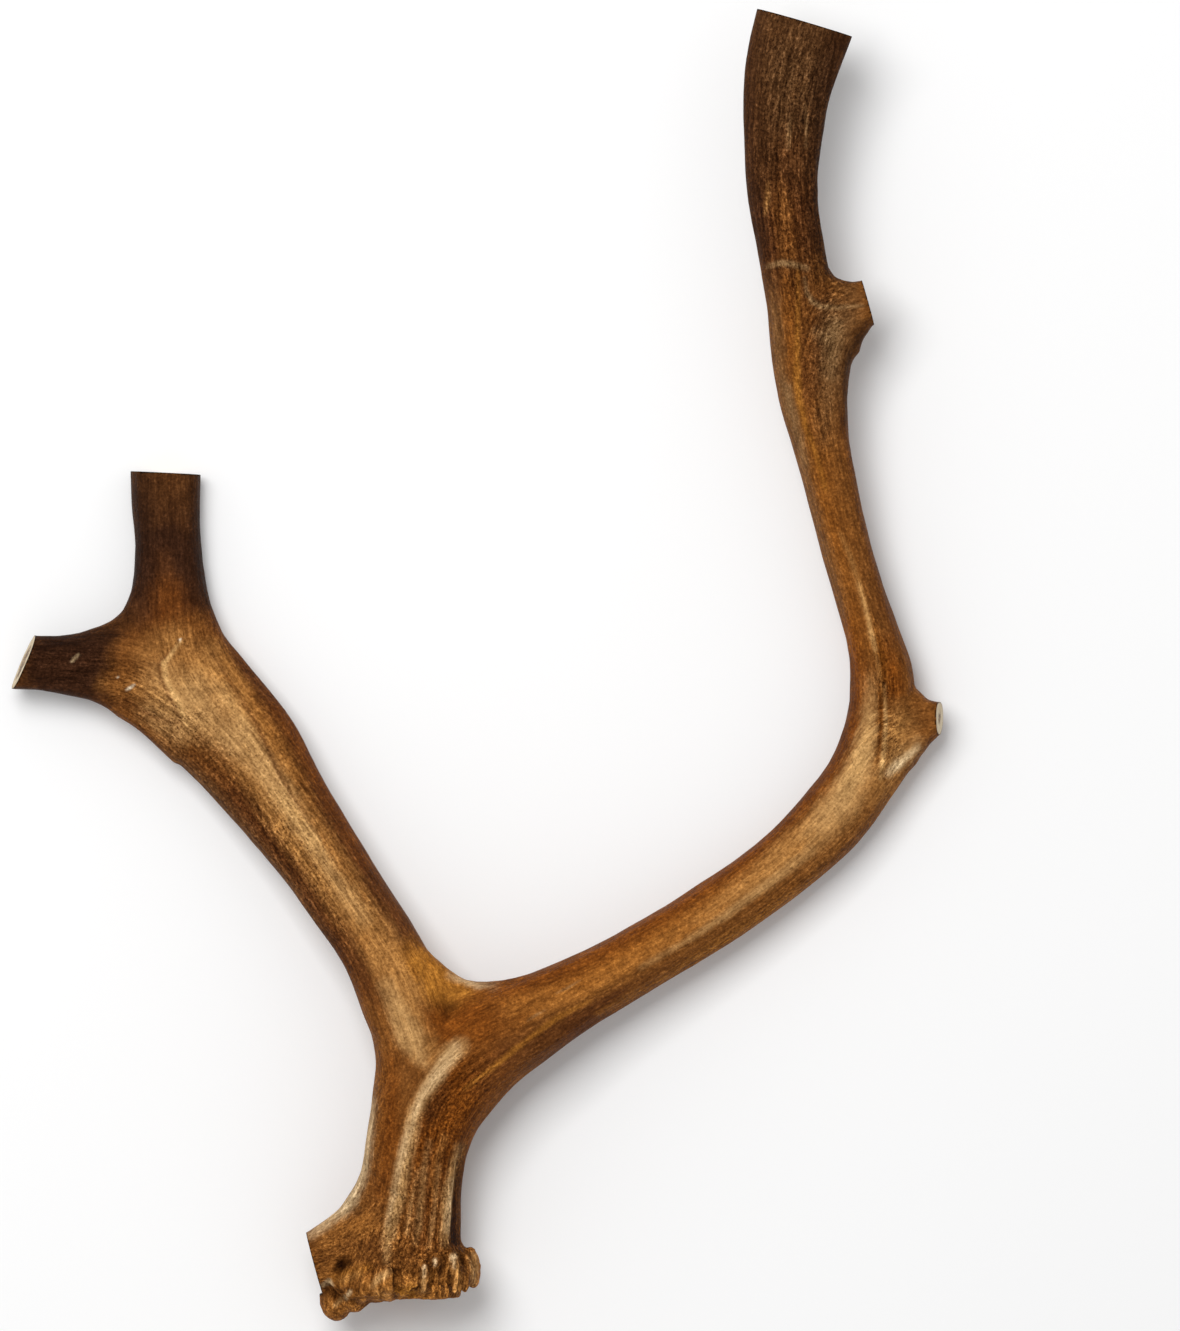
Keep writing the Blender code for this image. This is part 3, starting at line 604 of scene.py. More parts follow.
def welded_node(thing):
    """A node's mesh with its doubled points merged."""
    bm = bmesh.new()
    bm.from_mesh(thing.data)
    bmesh.ops.remove_doubles(bm, verts=bm.verts, dist=0.02 * MM)
    return bm


def lengthen_sawn_ends(bm, mounts):
    """Pulls each sawn end out past its cut, so that the cut can be made again in the finished skin."""
    for mount in mounts:
        ends = faces_on(bm, mount, 0.999, 0.05 * MM)
        if ends:
            made = bmesh.ops.extrude_face_region(bm, geom=ends)["geom"]
            bmesh.ops.delete(bm, geom=ends, context="FACES_KEEP_BOUNDARY")
            points = [item for item in made if isinstance(item, bmesh.types.BMVert)]
            length = SHORT_ENDS.get(mount["name"], END_LENGTH)
            bmesh.ops.translate(bm, verts=points, vec=Vector(mount["axis"]) * length)


def moved_along_normals(bm, distance):
    bm.normal_update()
    for vertex in bm.verts:
        vertex.co += vertex.normal * distance


# The burr, a flattened ring.
BURR_CENTRE = Vector((-22.4, -182.5, 22.3)) * MM
BURR_TILT = math.radians(8)
BURR_RADIUS = 21.9 * MM
BURR_FLATTENING = 0.93
# The beads on it that show: x, y, half width, half length (in pixels) and lean (in degrees).
BEADS = [
    (474, 1268, 5, 18, 3), (466.5, 1279, 2.6, 13, 0), (456, 1272, 4.6, 21, 2),
    (460.5, 1283, 2.2, 10, 0), (447.5, 1287, 2.4, 9, -4), (441, 1289, 2, 8, 3),
    (434.5, 1288, 2.8, 8, 0), (436, 1259, 3, 4, 10), (425.5, 1277, 3.6, 13, 4),
    (417.5, 1279, 1.8, 9, 0), (405, 1276, 2, 8, 0), (379, 1283, 3.4, 11, -8),
    (349, 1293, 2.6, 6, -42), (339, 1302, 2.4, 4, -20), (327, 1283, 3, 7, -58),
    (362, 1290, 2.2, 6, -10),
]
HIDDEN_BEADS = 20


def burr_place(around, lift):
    """A place on the burr's rim, at an angle from the beam's side over the top, and a lift."""
    outward = Vector((math.cos(around), 0, math.sin(around) * BURR_FLATTENING)) * BURR_RADIUS
    turned = Matrix.Rotation(BURR_TILT, 4, "Z") @ (outward + Vector((0, lift, 0)))
    return BURR_CENTRE + turned


def add_bead(bm, middle, radius, half_length, lean):
    """A rounded finger of bone."""
    shape = Matrix.Translation(middle) @ Matrix.Rotation(lean, 4, "Z")
    shape = shape @ Matrix.Diagonal((radius, half_length, radius, 1))
    bmesh.ops.create_icosphere(bm, subdivisions=3, radius=1, matrix=shape)


def add_beads(bm):
    """The burr's beads: those that show, where the photograph has them, and more round its underside."""
    for across, down, radius, half_length, lean in BEADS:
        x, y = (across - MIDDLE_X) * PIXEL, (MIDDLE_Y - down) * PIXEL
        around = math.acos(max(-1, min(1, (x - BURR_CENTRE.x) / BURR_RADIUS)))
        z = BURR_CENTRE.z + BURR_RADIUS * BURR_FLATTENING * math.sin(around)
        add_bead(bm, (x, y, z), radius * PIXEL, half_length * PIXEL, math.radians(-lean))
    chance = random.Random(SEED)
    for i in range(HIDDEN_BEADS):
        around = math.pi * (1 + (i + chance.uniform(0.2, 0.8)) / HIDDEN_BEADS)
        middle = burr_place(around, chance.uniform(-1.8, 0.8) * MM)
        radius, half_length = chance.uniform(0.9, 1.7) * MM, chance.uniform(3.0, 5.6) * MM
        add_bead(bm, middle, radius, half_length, BURR_TILT + chance.uniform(-0.2, 0.2))


def fused_skin():
    """All the nodes and beads in one closed skin."""
    together = bpy.data.meshes.new("together")
    whole = bmesh.new()
    for thing in frame["nodes"].values():
        bm = welded_node(thing)
        lengthen_sawn_ends(bm, frame["record"]["mounts"])
        moved_along_normals(bm, GROW)
        bm.to_mesh(together)
        bm.free()
        whole.from_mesh(together)
    add_beads(whole)
    whole.to_mesh(together)
    whole.free()
    return outermost(modified(together, "REMESH", mode="VOXEL", voxel_size=VOXEL))


def outermost(mesh):
    """The skin without the small closed voids that are left inside it."""
    bm = bmesh.new()
    bm.from_mesh(mesh)
    highest = max(bm.verts, key=lambda v: v.co.z)
    found, waiting = {highest}, [highest]
    while waiting:
        vertex = waiting.pop()
        for edge in vertex.link_edges:
            other = edge.other_vert(vertex)
            if other not in found:
                found.add(other)
                waiting.append(other)
    bmesh.ops.delete(bm, geom=[v for v in bm.verts if v not in found], context="VERTS")
    bm.to_mesh(mesh)
    bm.free()
    return mesh


def neighbour_mean(values, edges, counts):
    """Each point's mean over its neighbours."""
    total = np.empty_like(values)
    for i in range(values.shape[1]):
        column = values[:, i]
        total[:, i] = np.bincount(edges[:, 0], column[edges[:, 1]], len(values))
        total[:, i] += np.bincount(edges[:, 1], column[edges[:, 0]], len(values))
    return total / counts[:, None]


def relaxed(places, edges, counts, steps, amount):
    """Taubin smoothing: it takes out facets and keeps the size. Amount is 0 to 1 at each point."""
    for _ in range(steps):
        for pull in (0.55, -0.57):
            places = places + (neighbour_mean(places, edges, counts) - places) * pull * amount[:, None]
    return places


# Where the solids meet and the skin is softened more, in millimetres: a place and a radius.
Soft = namedtuple("Soft", "at radius")
SOFT_SPOTS = [
    Soft((124.0, -31.0, 11.5), 15),
    Soft((112.0, 100.0, 26.0), 15),
    Soft((3.0, -107.0, 22.0), 18),
    Soft((-38.0, -168.0, 22.0), 16),
    Soft((-98.0, -10.0, 11.0), 24),
]
SOFT_SPOT_STEPS = 260


def softened(places, edges, counts):
    """Extra smoothing near the soft spots."""
    amount = np.zeros(len(places))
    for spot in SOFT_SPOTS:
        away = np.linalg.norm(places / MM - np.array(spot.at), axis=1)
        amount = np.maximum(amount, 1 - smoothstep(0.4 * spot.radius, spot.radius, away))
    near = amount[edges].max(axis=1) > 0
    index = np.full(len(places), -1)
    used = np.unique(edges[near])
    index[used] = np.arange(len(used))
    some = index[edges[near]]
    some_counts = np.bincount(some.ravel(), minlength=len(used))
    places[used] = relaxed(places[used], some, some_counts, SOFT_SPOT_STEPS, amount[used])
    return places


def to_pixels(places):
    """Where places are in the photograph."""
    return np.stack([MIDDLE_X + places[:, 0] / PIXEL, MIDDLE_Y - places[:, 1] / PIXEL], axis=1)


def burr_share(places):
    """1 on the burr and 0 on the stem above it."""
    turned = (places - np.array(BURR_CENTRE)) @ np.array(Matrix.Rotation(BURR_TILT, 3, "Z"))
    return 1 - smoothstep(5 * MM, 10 * MM, turned[:, 1])


# Where the bone is pitted and fibrous: a softness, a strength, and the points, as for a stroke.
PITTED = [
    (20, 1, [(470, 1075, 52), (440, 1130, 58), (432, 1190, 70), (425, 1240, 110),
     (400, 1290, 221)]),
    (20, 0.5, [(380, 1050, 36), (380, 1120, 37), (365, 1200, 63), (340, 1270, 73)]),
    (20, 0.8, [(130, 690, 60), (185, 735, 63), (240, 800, 59), (310, 880, 46), (350, 960, 40)]),
    (20, 0.5, [(200, 660, 100), (270, 750, 70), (340, 870, 50), (400, 960, 52)]),
    (12, 0.4, [(620, 1010, 22), (720, 945, 19), (820, 870, 21), (870, 820, 41)]),
    (10, 0.7, [(890, 790, 33), (888, 740, 26), (886, 690, 24), (876, 630, 24)]),
    (25, 0.9, [(800, 30, 96), (795, 80, 79), (790, 160, 86), (795, 240, 71), (815, 300, 63),
     (815, 380, 42), (825, 450, 25)]),
    (16, 0.5, [(50, 665, 50), (100, 668, 50)]),
]


# The least pitted that the bone is anywhere.
SMOOTHEST = 0.15
# How far the stain wanders on the underside, in the photograph's pixels.
DRIFT = 14


def sculpt(mesh):
    """Smooths the skin, cuts its grain into it, and stores what the materials read."""
    edges, counts = mesh_edges(mesh)
    places = mesh_points(mesh)
    burr = burr_share(places)
    places = relaxed(places, edges, counts, SMOOTH_STEPS, 1 - (1 - BURR_SMOOTHING) * burr)
    places = softened(places, edges, counts)
    set_points(mesh, places)
    normals = mesh_normals(mesh)
    places = places - normals * GROW
    first, first_reach = grain(places, FIRST_LIMBS, 0.0)
    second, second_reach = grain(places, SECOND_LIMBS, 3.0)
    mix = smoothstep(-0.25, 0.25, first_reach - second_reach)
    pixels = to_pixels(places)
    top = smoothstep(-0.35, 0.15, normals[:, 2])

    def limb_noise(along, across, layers, seed):
        size = np.array([along, across, across]) * MM
        one = layered_noise(first / size, layers, seed)
        other = layered_noise(second / size, layers, seed + 10)
        return one * (1 - mix) + other * mix

    pitted = np.zeros(len(places))
    for stroke in PITTED:
        pitted = np.maximum(pitted, stroke_value(pixels, *stroke))
    pitted = np.maximum(pitted * (0.6 + 0.4 * top), SMOOTHEST)

    lumps = 0.25 * limb_noise(24, 9, 2, 1)
    flutes = 0.14 * limb_noise(50, 4.0, 2, 2)
    fibres = 0.12 * (0.2 + pitted) * limb_noise(10, 1.7, 2, 3)
    crust = 0.16 * gradient_noise(places / (2.2 * MM), 4) + 0.12 * gradient_noise(places / (1.1 * MM), 5)
    lines = sum(stroke_value(pixels, *ridge) for ridge in RIDGES) * top
    height = (lumps + flutes + fibres + burr * crust + lines) * MM
    places = places + normals * height[:, None]
    set_points(mesh, places)

    drift = DRIFT * (1 - smoothstep(-0.5, -0.05, normals[:, 2]))

    def one_warp(seed):
        fine = 3.0 * limb_noise(6, 1.4, 2, seed) + 2.5 * gradient_noise(places / (1.3 * MM), seed + 5)
        return fine + drift * gradient_noise(places / (22 * MM), seed + 6)

    warp = np.stack([one_warp(31), one_warp(51)], axis=1)
    kept = {
        "stain": stained(pixels, warp, smoothstep(-0.15, 0.2, normals[:, 2])),
        "grain_first": first,
        "grain_second": second,
        "grain_mix": mix,
        "hollow": hollowness(mesh, edges, counts),
        "burr": burr,
        "pitted": pitted,
    }
    for name, values in kept.items():
        store(mesh, name, values)


HOLLOW_STEPS = 10


def hollowness(mesh, edges, counts):
    """How far each point lies below its surroundings, in millimetres."""
    places = mesh_points(mesh)
    blurred = places
    for _ in range(HOLLOW_STEPS):
        blurred = neighbour_mean(blurred, edges, counts)
    depth = ((blurred - places) * mesh_normals(mesh)).sum(1) / MM
    return neighbour_mean(depth[:, None], edges, counts)[:, 0]


# Sawn ends

# How far from its middle a saw cut reaches, and how far apart the points of a sawn face are.
FULL_SAW_REACH = 26 * MM
SAW_REACH = {"brow_end": 10.3 * MM}
CUT_SPACING = 0.6 * MM
# Asks the triangulation to leave out what lies outside the outline.
INSIDE_ONLY = 1


def saw_blocks():
    """A block beyond each sawn end, all in one object."""
    bm = bmesh.new()
    for mount in frame["record"]["mounts"]:
        reach = SAW_REACH.get(mount["name"], FULL_SAW_REACH)
        facing = Vector(mount["axis"])
        turn = facing.to_track_quat("Z", "Y").to_matrix().to_4x4()
        place = Matrix.Translation(Vector(mount["pos_m"]) + facing * reach) @ turn
        bmesh.ops.create_cube(bm, size=2 * reach, matrix=place)
    mesh = bpy.data.meshes.new("saw_blocks")
    bm.to_mesh(mesh)
    bm.free()
    return placed("saw_blocks", mesh)


def sawn(mesh):
    """The skin with its ends sawn off."""
    blocks = saw_blocks()
    cut = modified(mesh, "BOOLEAN", operation="DIFFERENCE", solver="MANIFOLD", object=blocks)
    bpy.data.objects.remove(blocks)
    return cut


def face_sawn_end(bm, mount, rim_layer):
    """Divides a sawn end finely, and notes how far each of its points is from its rim."""
    facing, spot = Vector(mount["axis"]), Vector(mount["pos_m"])
    ends = faces_on(bm, mount, 0.9995, 0.02 * MM)
    edges = dict.fromkeys(edge for face in ends for edge in face.edges)
    rim = [edge for edge in edges if any(other not in ends for other in edge.link_faces)]
    bmesh.ops.delete(bm, geom=ends, context="FACES_ONLY")
    loop = ordered_loop(rim)
    across = facing.orthogonal().normalized()
    over = facing.cross(across)
    flat = [Vector(((v.co - spot).dot(across), (v.co - spot).dot(over))) for v in loop]
    ring = [(i, (i + 1) % len(flat)) for i in range(len(flat))]
    outline = np.array(flat)
    found = geometry.delaunay_2d_cdt(flat + points_off(outline), ring, [], INSIDE_ONLY, 1e-9)
    places, _, triangles, sources = found[:4]
    corners = {}
    used = {corner for triangle in triangles for corner in triangle}
    for i in sorted(used):
        place, source = places[i], sources[i]
        if source and source[0] < len(loop):
            corners[i] = loop[source[0]]
        else:
            corners[i] = bm.verts.new(spot + across * place.x + over * place.y)
            corners[i][rim_layer] = np.linalg.norm(outline - np.array(place), axis=1).min() / MM
    for triangle in triangles:
        face = bm.faces.new([corners[i] for i in triangle])
        face.normal_update()
        if face.normal.dot(facing) < 0:
            face.normal_flip()
        face.material_index = 1


def ordered_loop(edges):
    """The vertices of the longest closed ring among some edges, in order."""
    links = {}
    for edge in edges:
        a, b = edge.verts
        links.setdefault(a, []).append(b)
        links.setdefault(b, []).append(a)
    best = []
    while links:
        start = next(iter(links))
        loop, previous, current = [start], None, start
        while True:
            following = [v for v in links[current] if v is not previous]
            previous, current = current, following[0]
            if current is start:
                break
            loop.append(current)
        for vertex in loop:
            del links[vertex]
        best = max(best, loop, key=len)
    return best


def points_off(ring):
    """A jittered grid of points over a flat ring, but none close to its outline."""
    chance = random.Random(SEED)
    low, high = ring.min(0), ring.max(0)
    found = []
    for x in np.arange(low[0], high[0], CUT_SPACING):
        for y in np.arange(low[1], high[1], CUT_SPACING):
            place = np.array([x, y]) + [chance.uniform(-0.25, 0.25) * CUT_SPACING for _ in range(2)]
            if np.linalg.norm(ring - place, axis=1).min() > 0.6 * CUT_SPACING:
                found.append(Vector(place))
    return found


# Pieces

# Where the solids are parted, in millimetres: a point, the direction of the limb beyond, and how
# far the split reaches.
Split = namedtuple("Split", "at beyond reach")
BEZ_ROOT = Split((-28.8, -85.0, 21.3), (-0.53, 0.84, 0.0), 24)
BEAM_ROOT = Split((16.2, -105.8, 22.3), (0.90, 0.43, 0.0), 24)
UPPER_POINT_ROOT = Split((-92.3, 16.5, 9.8), (0.0, 1.0, 0.0), 24)
FRONT_POINT_ROOT = Split((-109.8, -0.5, 12.3), (-1.0, 0.0, 0.0), 26)
SPLITS = (BEZ_ROOT, BEAM_ROOT, UPPER_POINT_ROOT, FRONT_POINT_ROOT)


def is_beyond(place, split):
    return (place - Vector(split.at) * MM).dot(Vector(split.beyond)) > 0


def node_at(place):
    """The node that a place on the skin belongs to."""
    if is_beyond(place, BEAM_ROOT):
        return "main_beam"
    if not is_beyond(place, BEZ_ROOT):
        return "burr_stem"
    if is_beyond(place, FRONT_POINT_ROOT):
        return "bez_front_point"
    if is_beyond(place, UPPER_POINT_ROOT):
        return "bez_upper_point"
    return "bez_tine"


def score(bm, split):
    """Divides the faces that cross a split, near it."""
    spot = Vector(split.at) * MM
    near = [face for face in bm.faces if (face.calc_center_median() - spot).length < split.reach * MM]
    geom = set(near)
    for face in near:
        geom.update(face.edges)
        geom.update(face.verts)
    beyond = Vector(split.beyond).normalized()
    bmesh.ops.bisect_plane(bm, geom=list(geom), plane_co=spot, plane_no=beyond, dist=1e-7)


def store_skin_normals(mesh):
    """Keeps the skin's normals without the sawn faces, so that pieces still match where they part."""
    mesh.calc_loop_triangles()
    corners = read(mesh.loop_triangles, "vertices", 3, np.int32)
    owner = read(mesh.loop_triangles, "polygon_index", kind=np.int32)
    is_cut = read(mesh.polygons, "material_index", kind=np.int32)
    corners = corners[is_cut[owner] == 0]
    places = mesh_points(mesh)
    a, b, c = (places[corners[:, i]] for i in range(3))
    facing = np.cross(b - a, c - a)
    total = np.zeros((len(places), 3))
    for i in range(3):
        for k in range(3):
            total[:, k] += np.bincount(corners[:, i], facing[:, k], len(places))
    length = np.linalg.norm(total, axis=1)
    total[length > 0] /= length[length > 0, None]
    store(mesh, "skin_normal", total)


def use_skin_normals(mesh):
    """Shades the skin with its stored normals, and the flat faces flat."""
    normals = read(mesh.attributes["skin_normal"].data, "vector", 3)
    chosen = normals[read(mesh.loops, "vertex_index", kind=np.int32)]
    for polygon in mesh.polygons:
        if polygon.material_index == 1 or len(polygon.vertices) > 8:
            chosen[polygon.loop_start : polygon.loop_start + polygon.loop_total] = polygon.normal
    mesh.shade_smooth()
    mesh.normals_split_custom_set(chosen.tolist())
    mesh.attributes.remove(mesh.attributes["skin_normal"])


def parted(mesh, materials):
    """The skin's pieces, one for each node, each closed where it was parted."""
    bm = bmesh.new()
    bm.from_mesh(mesh)
    owners = [node_at(face.calc_center_median()) for face in bm.faces]
    bm.free()
    pieces = {}
    for name in sorted(frame["nodes"]):
        bm = bmesh.new()
        bm.from_mesh(mesh)
        others = [face for face, owner in zip(bm.faces, owners) if owner != name]
        bmesh.ops.delete(bm, geom=others, context="FACES")
        bmesh.ops.holes_fill(bm, edges=[edge for edge in bm.edges if edge.is_boundary])
        bmesh.ops.recalc_face_normals(bm, faces=bm.faces)
        skin = bpy.data.meshes.new(f"{name}_skin")
        bm.to_mesh(skin)
        bm.free()
        for material in materials:
            skin.materials.append(material)
        use_skin_normals(skin)
        pieces[name] = placed(f"{name}_skin", skin)
    return pieces


# Materials


class Graph:
    """Short calls for building a material's nodes."""

    def __init__(self, name):
        self.material = bpy.data.materials.new(name)
        self.material.use_nodes = True
        self.tree = self.material.node_tree
        self.shader = self.tree.nodes["Principled BSDF"]

    def add(self, kind, inputs=(), **settings):
        node = self.tree.nodes.new(kind)
        for key, value in settings.items():
            setattr(node, key, value)
        for key, value in dict(inputs).items():
            self.give(node.inputs[key], value)
        return node

    def give(self, socket, value):
        if isinstance(value, bpy.types.NodeSocket):
            self.tree.links.new(value, socket)
        elif socket.type == "RGBA" and len(value) == 3:
            socket.default_value = (*value, 1)
        else:
            socket.default_value = value

    def math(self, operation, a, b=0.0, c=0.0):
        return self.add("ShaderNodeMath", {0: a, 1: b, 2: c}, operation=operation).outputs[0]

    def times(self, a, b):
        return self.math("MULTIPLY", a, b)

    def stored(self, name, vector=False):
        node = self.add("ShaderNodeAttribute", attribute_name=name)
        return node.outputs["Vector" if vector else "Fac"]

    def ramp(self, value, low, high, start=0.0, end=1.0):
        inputs = {"Value": value, "From Min": low, "From Max": high, "To Min": start, "To Max": end}
        return self.add("ShaderNodeMapRange", inputs, interpolation_type="SMOOTHSTEP").outputs[0]

    def noise(self, vector, size, detail=2.0):
        """Noise about 0, from -0.5 to 0.5, with a grain of the given size in metres along each axis."""
        inputs = {0: vector, 1: [1 / s for s in size]}
        scaled = self.add("ShaderNodeVectorMath", inputs, operation="MULTIPLY").outputs[0]
        inputs = {"Vector": scaled, "Scale": 1.0, "Detail": detail, "Roughness": 0.7}
        found = self.add("ShaderNodeTexNoise", inputs).outputs["Fac"]
        return self.math("SUBTRACT", found, 0.5)

    def blend(self, factor, first, second):
        """A number between two."""
        inputs = {"Factor": factor, "A": first, "B": second}
        return self.add("ShaderNodeMix", inputs, data_type="FLOAT").outputs[0]

    def total(self, *terms):
        """The sum of (amount, value) pairs."""
        found = 0.0
        for amount, value in terms:
            found = self.math("MULTIPLY_ADD", value, amount, found)
        return found

    def paint(self, factor, under, over, how="MIX"):
        """A colour over another."""
        node = self.add("ShaderNodeMix", data_type="RGBA", blend_type=how)
        self.give(node.inputs[0], factor)
        self.give(node.inputs[6], under)
        self.give(node.inputs[7], over)
        return node.outputs[2]

    def tint(self, factor, colour, tint):
        """A colour multiplied by a tint, where the factor is 1."""
        return self.paint(factor, colour, self.paint(1.0, colour, tint, "MULTIPLY"))

    def finish(self, colour, roughness, height, relief):
        """Gives the shader its colour and gloss, and a height that is at most the relief in metres."""
        self.give(self.shader.inputs["Base Color"], colour)
        self.give(self.shader.inputs["Roughness"], roughness)
        bump = self.add("ShaderNodeBump", {"Height": height, "Distance": relief, "Strength": 1.0})
        self.give(self.shader.inputs["Normal"], bump.outputs[0])
        return self.material


# How strongly the stain's level changes its red, green and blue, and how much lighter it is all over.
CONTRAST = (5.0, 6.0, 7.5)
LIFT = 0.08
# What the colour is multiplied by in warm patches, pits, cracks and painted glints.
WARM = (1.25, 1.0, 0.6)
PIT = (0.2, 0.13, 0.1)
CRACK = (0.4, 0.3, 0.22)
GLINT = (1.7, 1.8, 2.1)


def stained_bone():
    """The antler's outside: brown stain over bone, speckled and streaked along the grain."""
    g = Graph("stained_bone")
    place = g.add("ShaderNodeTexCoord").outputs["Object"]
    first = g.stored("grain_first", vector=True)
    second = g.stored("grain_second", vector=True)
    mix = g.stored("grain_mix")
    pitted = g.stored("pitted")
    hollow = g.stored("hollow")
    burr = g.stored("burr")

    def limb_noise(along, across, detail):
        size = (along * MM, across * MM, across * MM)
        return g.blend(mix, g.noise(first, size, detail), g.noise(second, size, detail))

    grains = g.noise(place, (0.8 * MM,) * 3, 3.0)
    fibres = limb_noise(2.2, 0.7, 2.0)
    streaks = limb_noise(22, 1.3, 2.0)
    mottle = g.noise(place, (4.5 * MM,) * 3, 3.0)
    clusters = limb_noise(8, 4, 2.0)
    dashes = limb_noise(1.2, 0.7, 1.0)
    glints = g.noise(place, (0.8 * MM,) * 3, 0.0)

    # How light or dark the stain is at each place, as a power of the contrast. Where the bone is pale it
    # has more dark marks than light ones.
    fine = g.math("MULTIPLY_ADD", pitted, 1.3, 0.75)
    stain = g.stored("stain", vector=True)
    paleness = g.ramp(g.add("ShaderNodeSeparateColor", {0: stain}).outputs[1], 0.03, 0.2)
    level = g.times(g.total((1.4, grains), (1.0, fibres)), fine)
    capped = g.math("MULTIPLY_ADD", level, g.blend(paleness, 1.0, 0.3), 0.03)
    level = g.math("MINIMUM", level, capped)
    patches, lines = g.times(clusters, pitted), g.times(streaks, pitted)
    level = g.total(
        (1.0, level), (0.6, streaks), (1.6, lines), (0.8, mottle), (0.9, patches), (1.0, LIFT)
    )
    # Painted shade: the stain is darkened in the skin's hollows. The burr's raised knobs are made
    # lighter.
    level = g.math("SUBTRACT", level, g.times(g.ramp(hollow, 0.02, 0.35), 0.45))
    level = g.math("ADD", level, g.times(g.ramp(hollow, -0.05, -0.35), g.times(burr, 0.25)))
    powers = {i: g.math("POWER", contrast, level) for i, contrast in enumerate(CONTRAST)}
    light = g.add("ShaderNodeCombineColor", powers).outputs[0]
    colour = g.paint(1.0, stain, light, "MULTIPLY")

    warm = g.ramp(g.total((1.0, clusters), (0.3, grains)), 0.04, 0.3)
    colour = g.tint(g.times(warm, 0.2), colour, WARM)
    pits = g.ramp(g.total((0.7, dashes), (0.5, grains)), 0.07, 0.14)
    pits = g.times(pits, g.ramp(g.total((1.0, clusters), (0.22, pitted)), -0.05, 0.13))
    pits = g.times(pits, g.ramp(pitted, 0.1, 0.7))
    colour = g.tint(g.times(pits, 0.75), colour, PIT)
    wander = g.math("ABSOLUTE", g.noise(place, (2.4 * MM, 1.6 * MM, 2.0 * MM), 1.0))
    cracks = g.ramp(wander, 0.03, 0.006)
    cracks = g.times(cracks, g.ramp(g.total((1.0, dashes), (1.0, clusters)), -0.02, 0.1))
    cracks = g.times(cracks, g.ramp(pitted, 0.2, 0.8))
    colour = g.tint(g.times(cracks, 0.7), colour, CRACK)
    # Painted glints: small pale sparkles lighten the colour here and there.
    colour = g.tint(g.times(g.ramp(glints, 0.2, 0.27), 0.2), colour, GLINT)

    g.shader.inputs["Specular IOR Level"].default_value = 0.02
    roughness = g.ramp(g.total((1.0, grains), (0.3, pitted)), -0.2, 0.5, 0.4, 0.62)
    rough, ribbed = g.times(grains, fine), g.times(fibres, fine)
    height = g.total((1.0, rough), (0.8, ribbed), (0.4, streaks), (-0.35, pits), (-0.25, cracks))
    return g.finish(colour, roughness, height, 0.5 * MM)


def sawn_bone():
    """A sawn face: an ivory shell of dense bone round a brown, spongy core."""
    g = Graph("sawn_bone")
    place = g.add("ShaderNodeTexCoord").outputs["Object"]
    rim = g.stored("rim")
    wander = g.noise(place, (3 * MM,) * 3, 2.0)
    sponge = g.noise(place, (0.9 * MM,) * 3, 2.0)
    marks = g.noise(place, (0.35 * MM, 12 * MM, 12 * MM), 1.0)
    core = g.ramp(g.math("MULTIPLY_ADD", wander, 3.0, rim), 2.1, 4.1)
    bone = g.paint(g.ramp(wander, -0.2, 0.2), linear("shell"), linear("shell_shade"))
    bone = g.paint(g.times(g.ramp(marks, 0.0, 0.25), 0.25), bone, linear("saw_mark"))
    marrow = g.paint(g.ramp(sponge, -0.08, 0.1), linear("hollow"), linear("sponge"))
    edge = g.ramp(g.math("MULTIPLY_ADD", wander, 0.5, rim), 0.5, 0.05)
    colour = g.paint(g.times(edge, 0.8), g.paint(core, bone, marrow), linear("rind"))
    height = g.math("MULTIPLY_ADD", g.times(sponge, core), 3.0, marks)
    return g.finish(colour, 0.62, height, 0.08 * MM)


# The antler


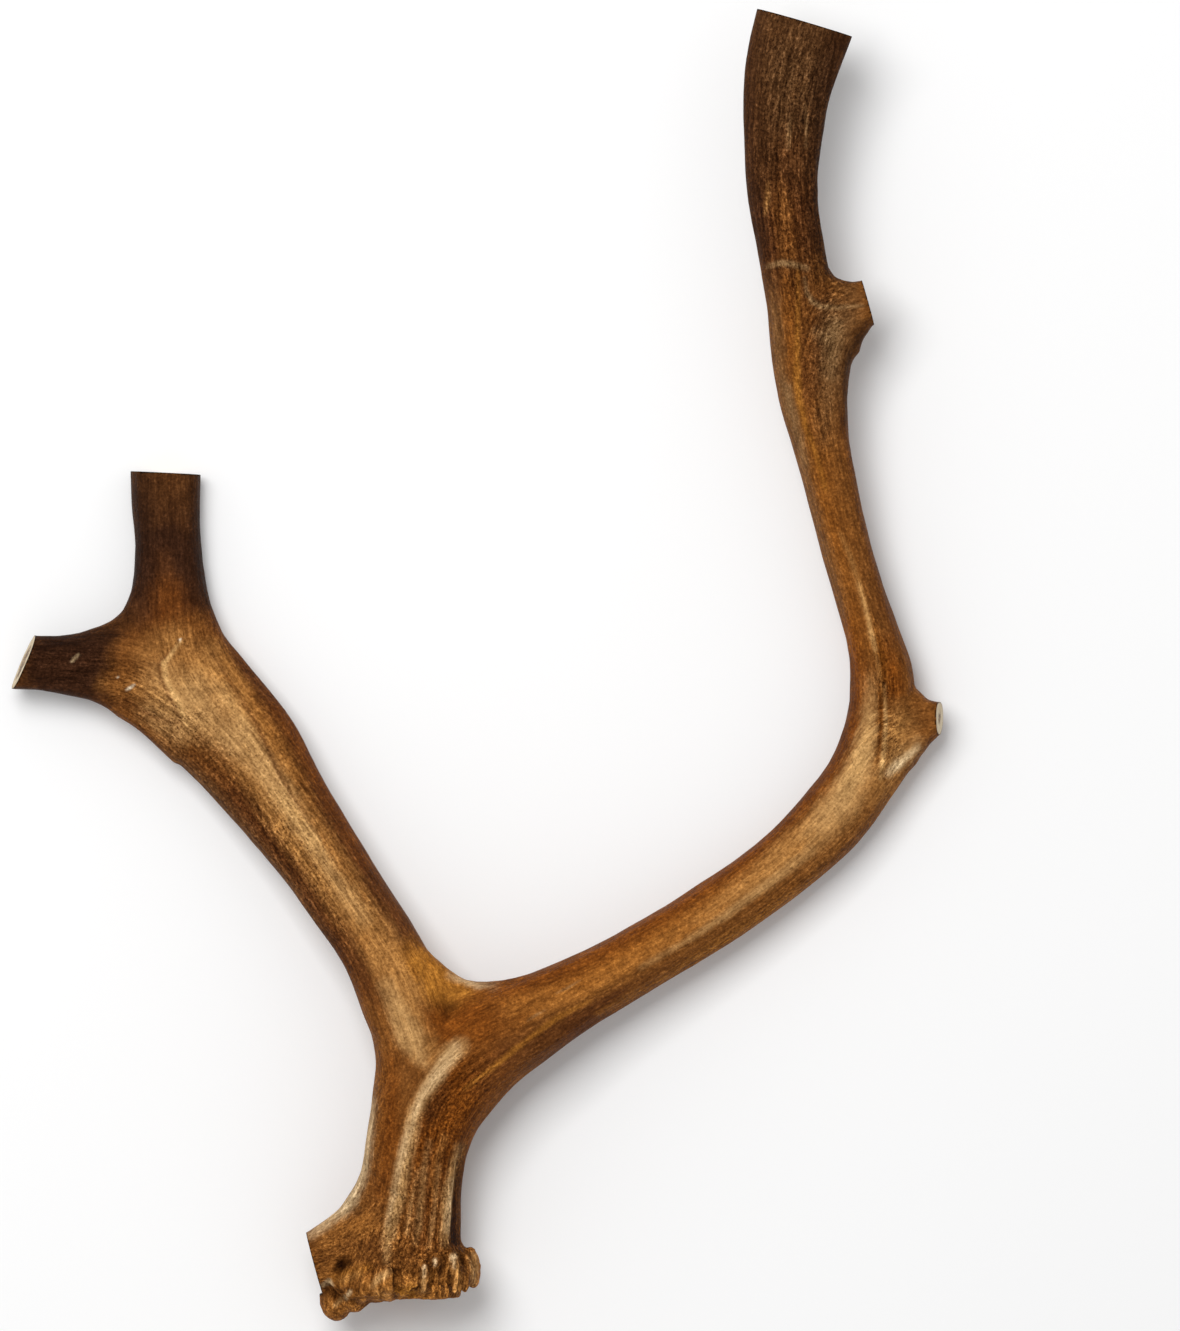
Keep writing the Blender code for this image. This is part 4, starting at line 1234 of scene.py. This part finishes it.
def make_antler():
    """Builds the skin, cuts it and hangs its pieces on the frame."""
    mesh = fused_skin()
    sculpt(mesh)
    mesh = sawn(mesh)
    bm = bmesh.new()
    bm.from_mesh(mesh)
    rim_layer = bm.verts.layers.float.new("rim")
    for mount in frame["record"]["mounts"]:
        face_sawn_end(bm, mount, rim_layer)
    for split in SPLITS:
        score(bm, split)
    bm.to_mesh(mesh)
    bm.free()
    store_skin_normals(mesh)
    for name, piece in parted(mesh, (stained_bone(), sawn_bone())).items():
        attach(piece, "root")
        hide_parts(name)


# The stage

CAMERA_HEIGHT = 4.0
SENSOR = 36
AIM = Vector(((PHOTO_WIDTH / 2 - MIDDLE_X) * PIXEL, (MIDDLE_Y - PHOTO_HEIGHT / 2) * PIXEL, 18 * MM))
FLOOR_SIZE = 12
FLOOR_GREY = 0.95
LIGHT_PLACE = Vector((-0.35, 0.45, 1.5))
LIGHT_SIZE = 0.8
LIGHT_POWER = 17
SKY_STRENGTH = 0.5


def make_camera():
    """Looks straight down, from far off, at the photograph's frame."""
    camera = placed("camera", bpy.data.cameras.new("camera"))
    camera.location = AIM + Vector((0, 0, CAMERA_HEIGHT))
    camera.data.sensor_width = SENSOR
    camera.data.lens = SENSOR * CAMERA_HEIGHT / (PHOTO_HEIGHT * PIXEL)
    camera.data.clip_end = 20
    bpy.context.scene.camera = camera


def make_floor():
    bpy.ops.mesh.primitive_plane_add(size=FLOOR_SIZE)
    floor = bpy.context.object
    floor.name = "floor"
    g = Graph("floor")
    g.shader.inputs["Base Color"].default_value = (FLOOR_GREY, FLOOR_GREY, FLOOR_GREY, 1)
    g.shader.inputs["Roughness"].default_value = 0.8
    floor.data.materials.append(g.material)


def make_lights():
    """A soft square light over the antler, and an even white sky."""
    light = placed("overhead", bpy.data.lights.new("overhead", "AREA"))
    light.data.size = LIGHT_SIZE
    light.data.energy = LIGHT_POWER
    light.location = LIGHT_PLACE
    light.rotation_mode = "QUATERNION"
    light.rotation_quaternion = (LIGHT_PLACE - AIM).to_track_quat("Z", "Y")
    world = bpy.data.worlds.new("world")
    world.use_nodes = True
    background = world.node_tree.nodes["Background"]
    background.inputs["Color"].default_value = (1, 1, 1, 1)
    background.inputs["Strength"].default_value = SKY_STRENGTH
    bpy.context.scene.world = world
    bpy.context.scene.view_settings.view_transform = "Standard"


make_camera()
make_floor()
make_lights()
make_antler()
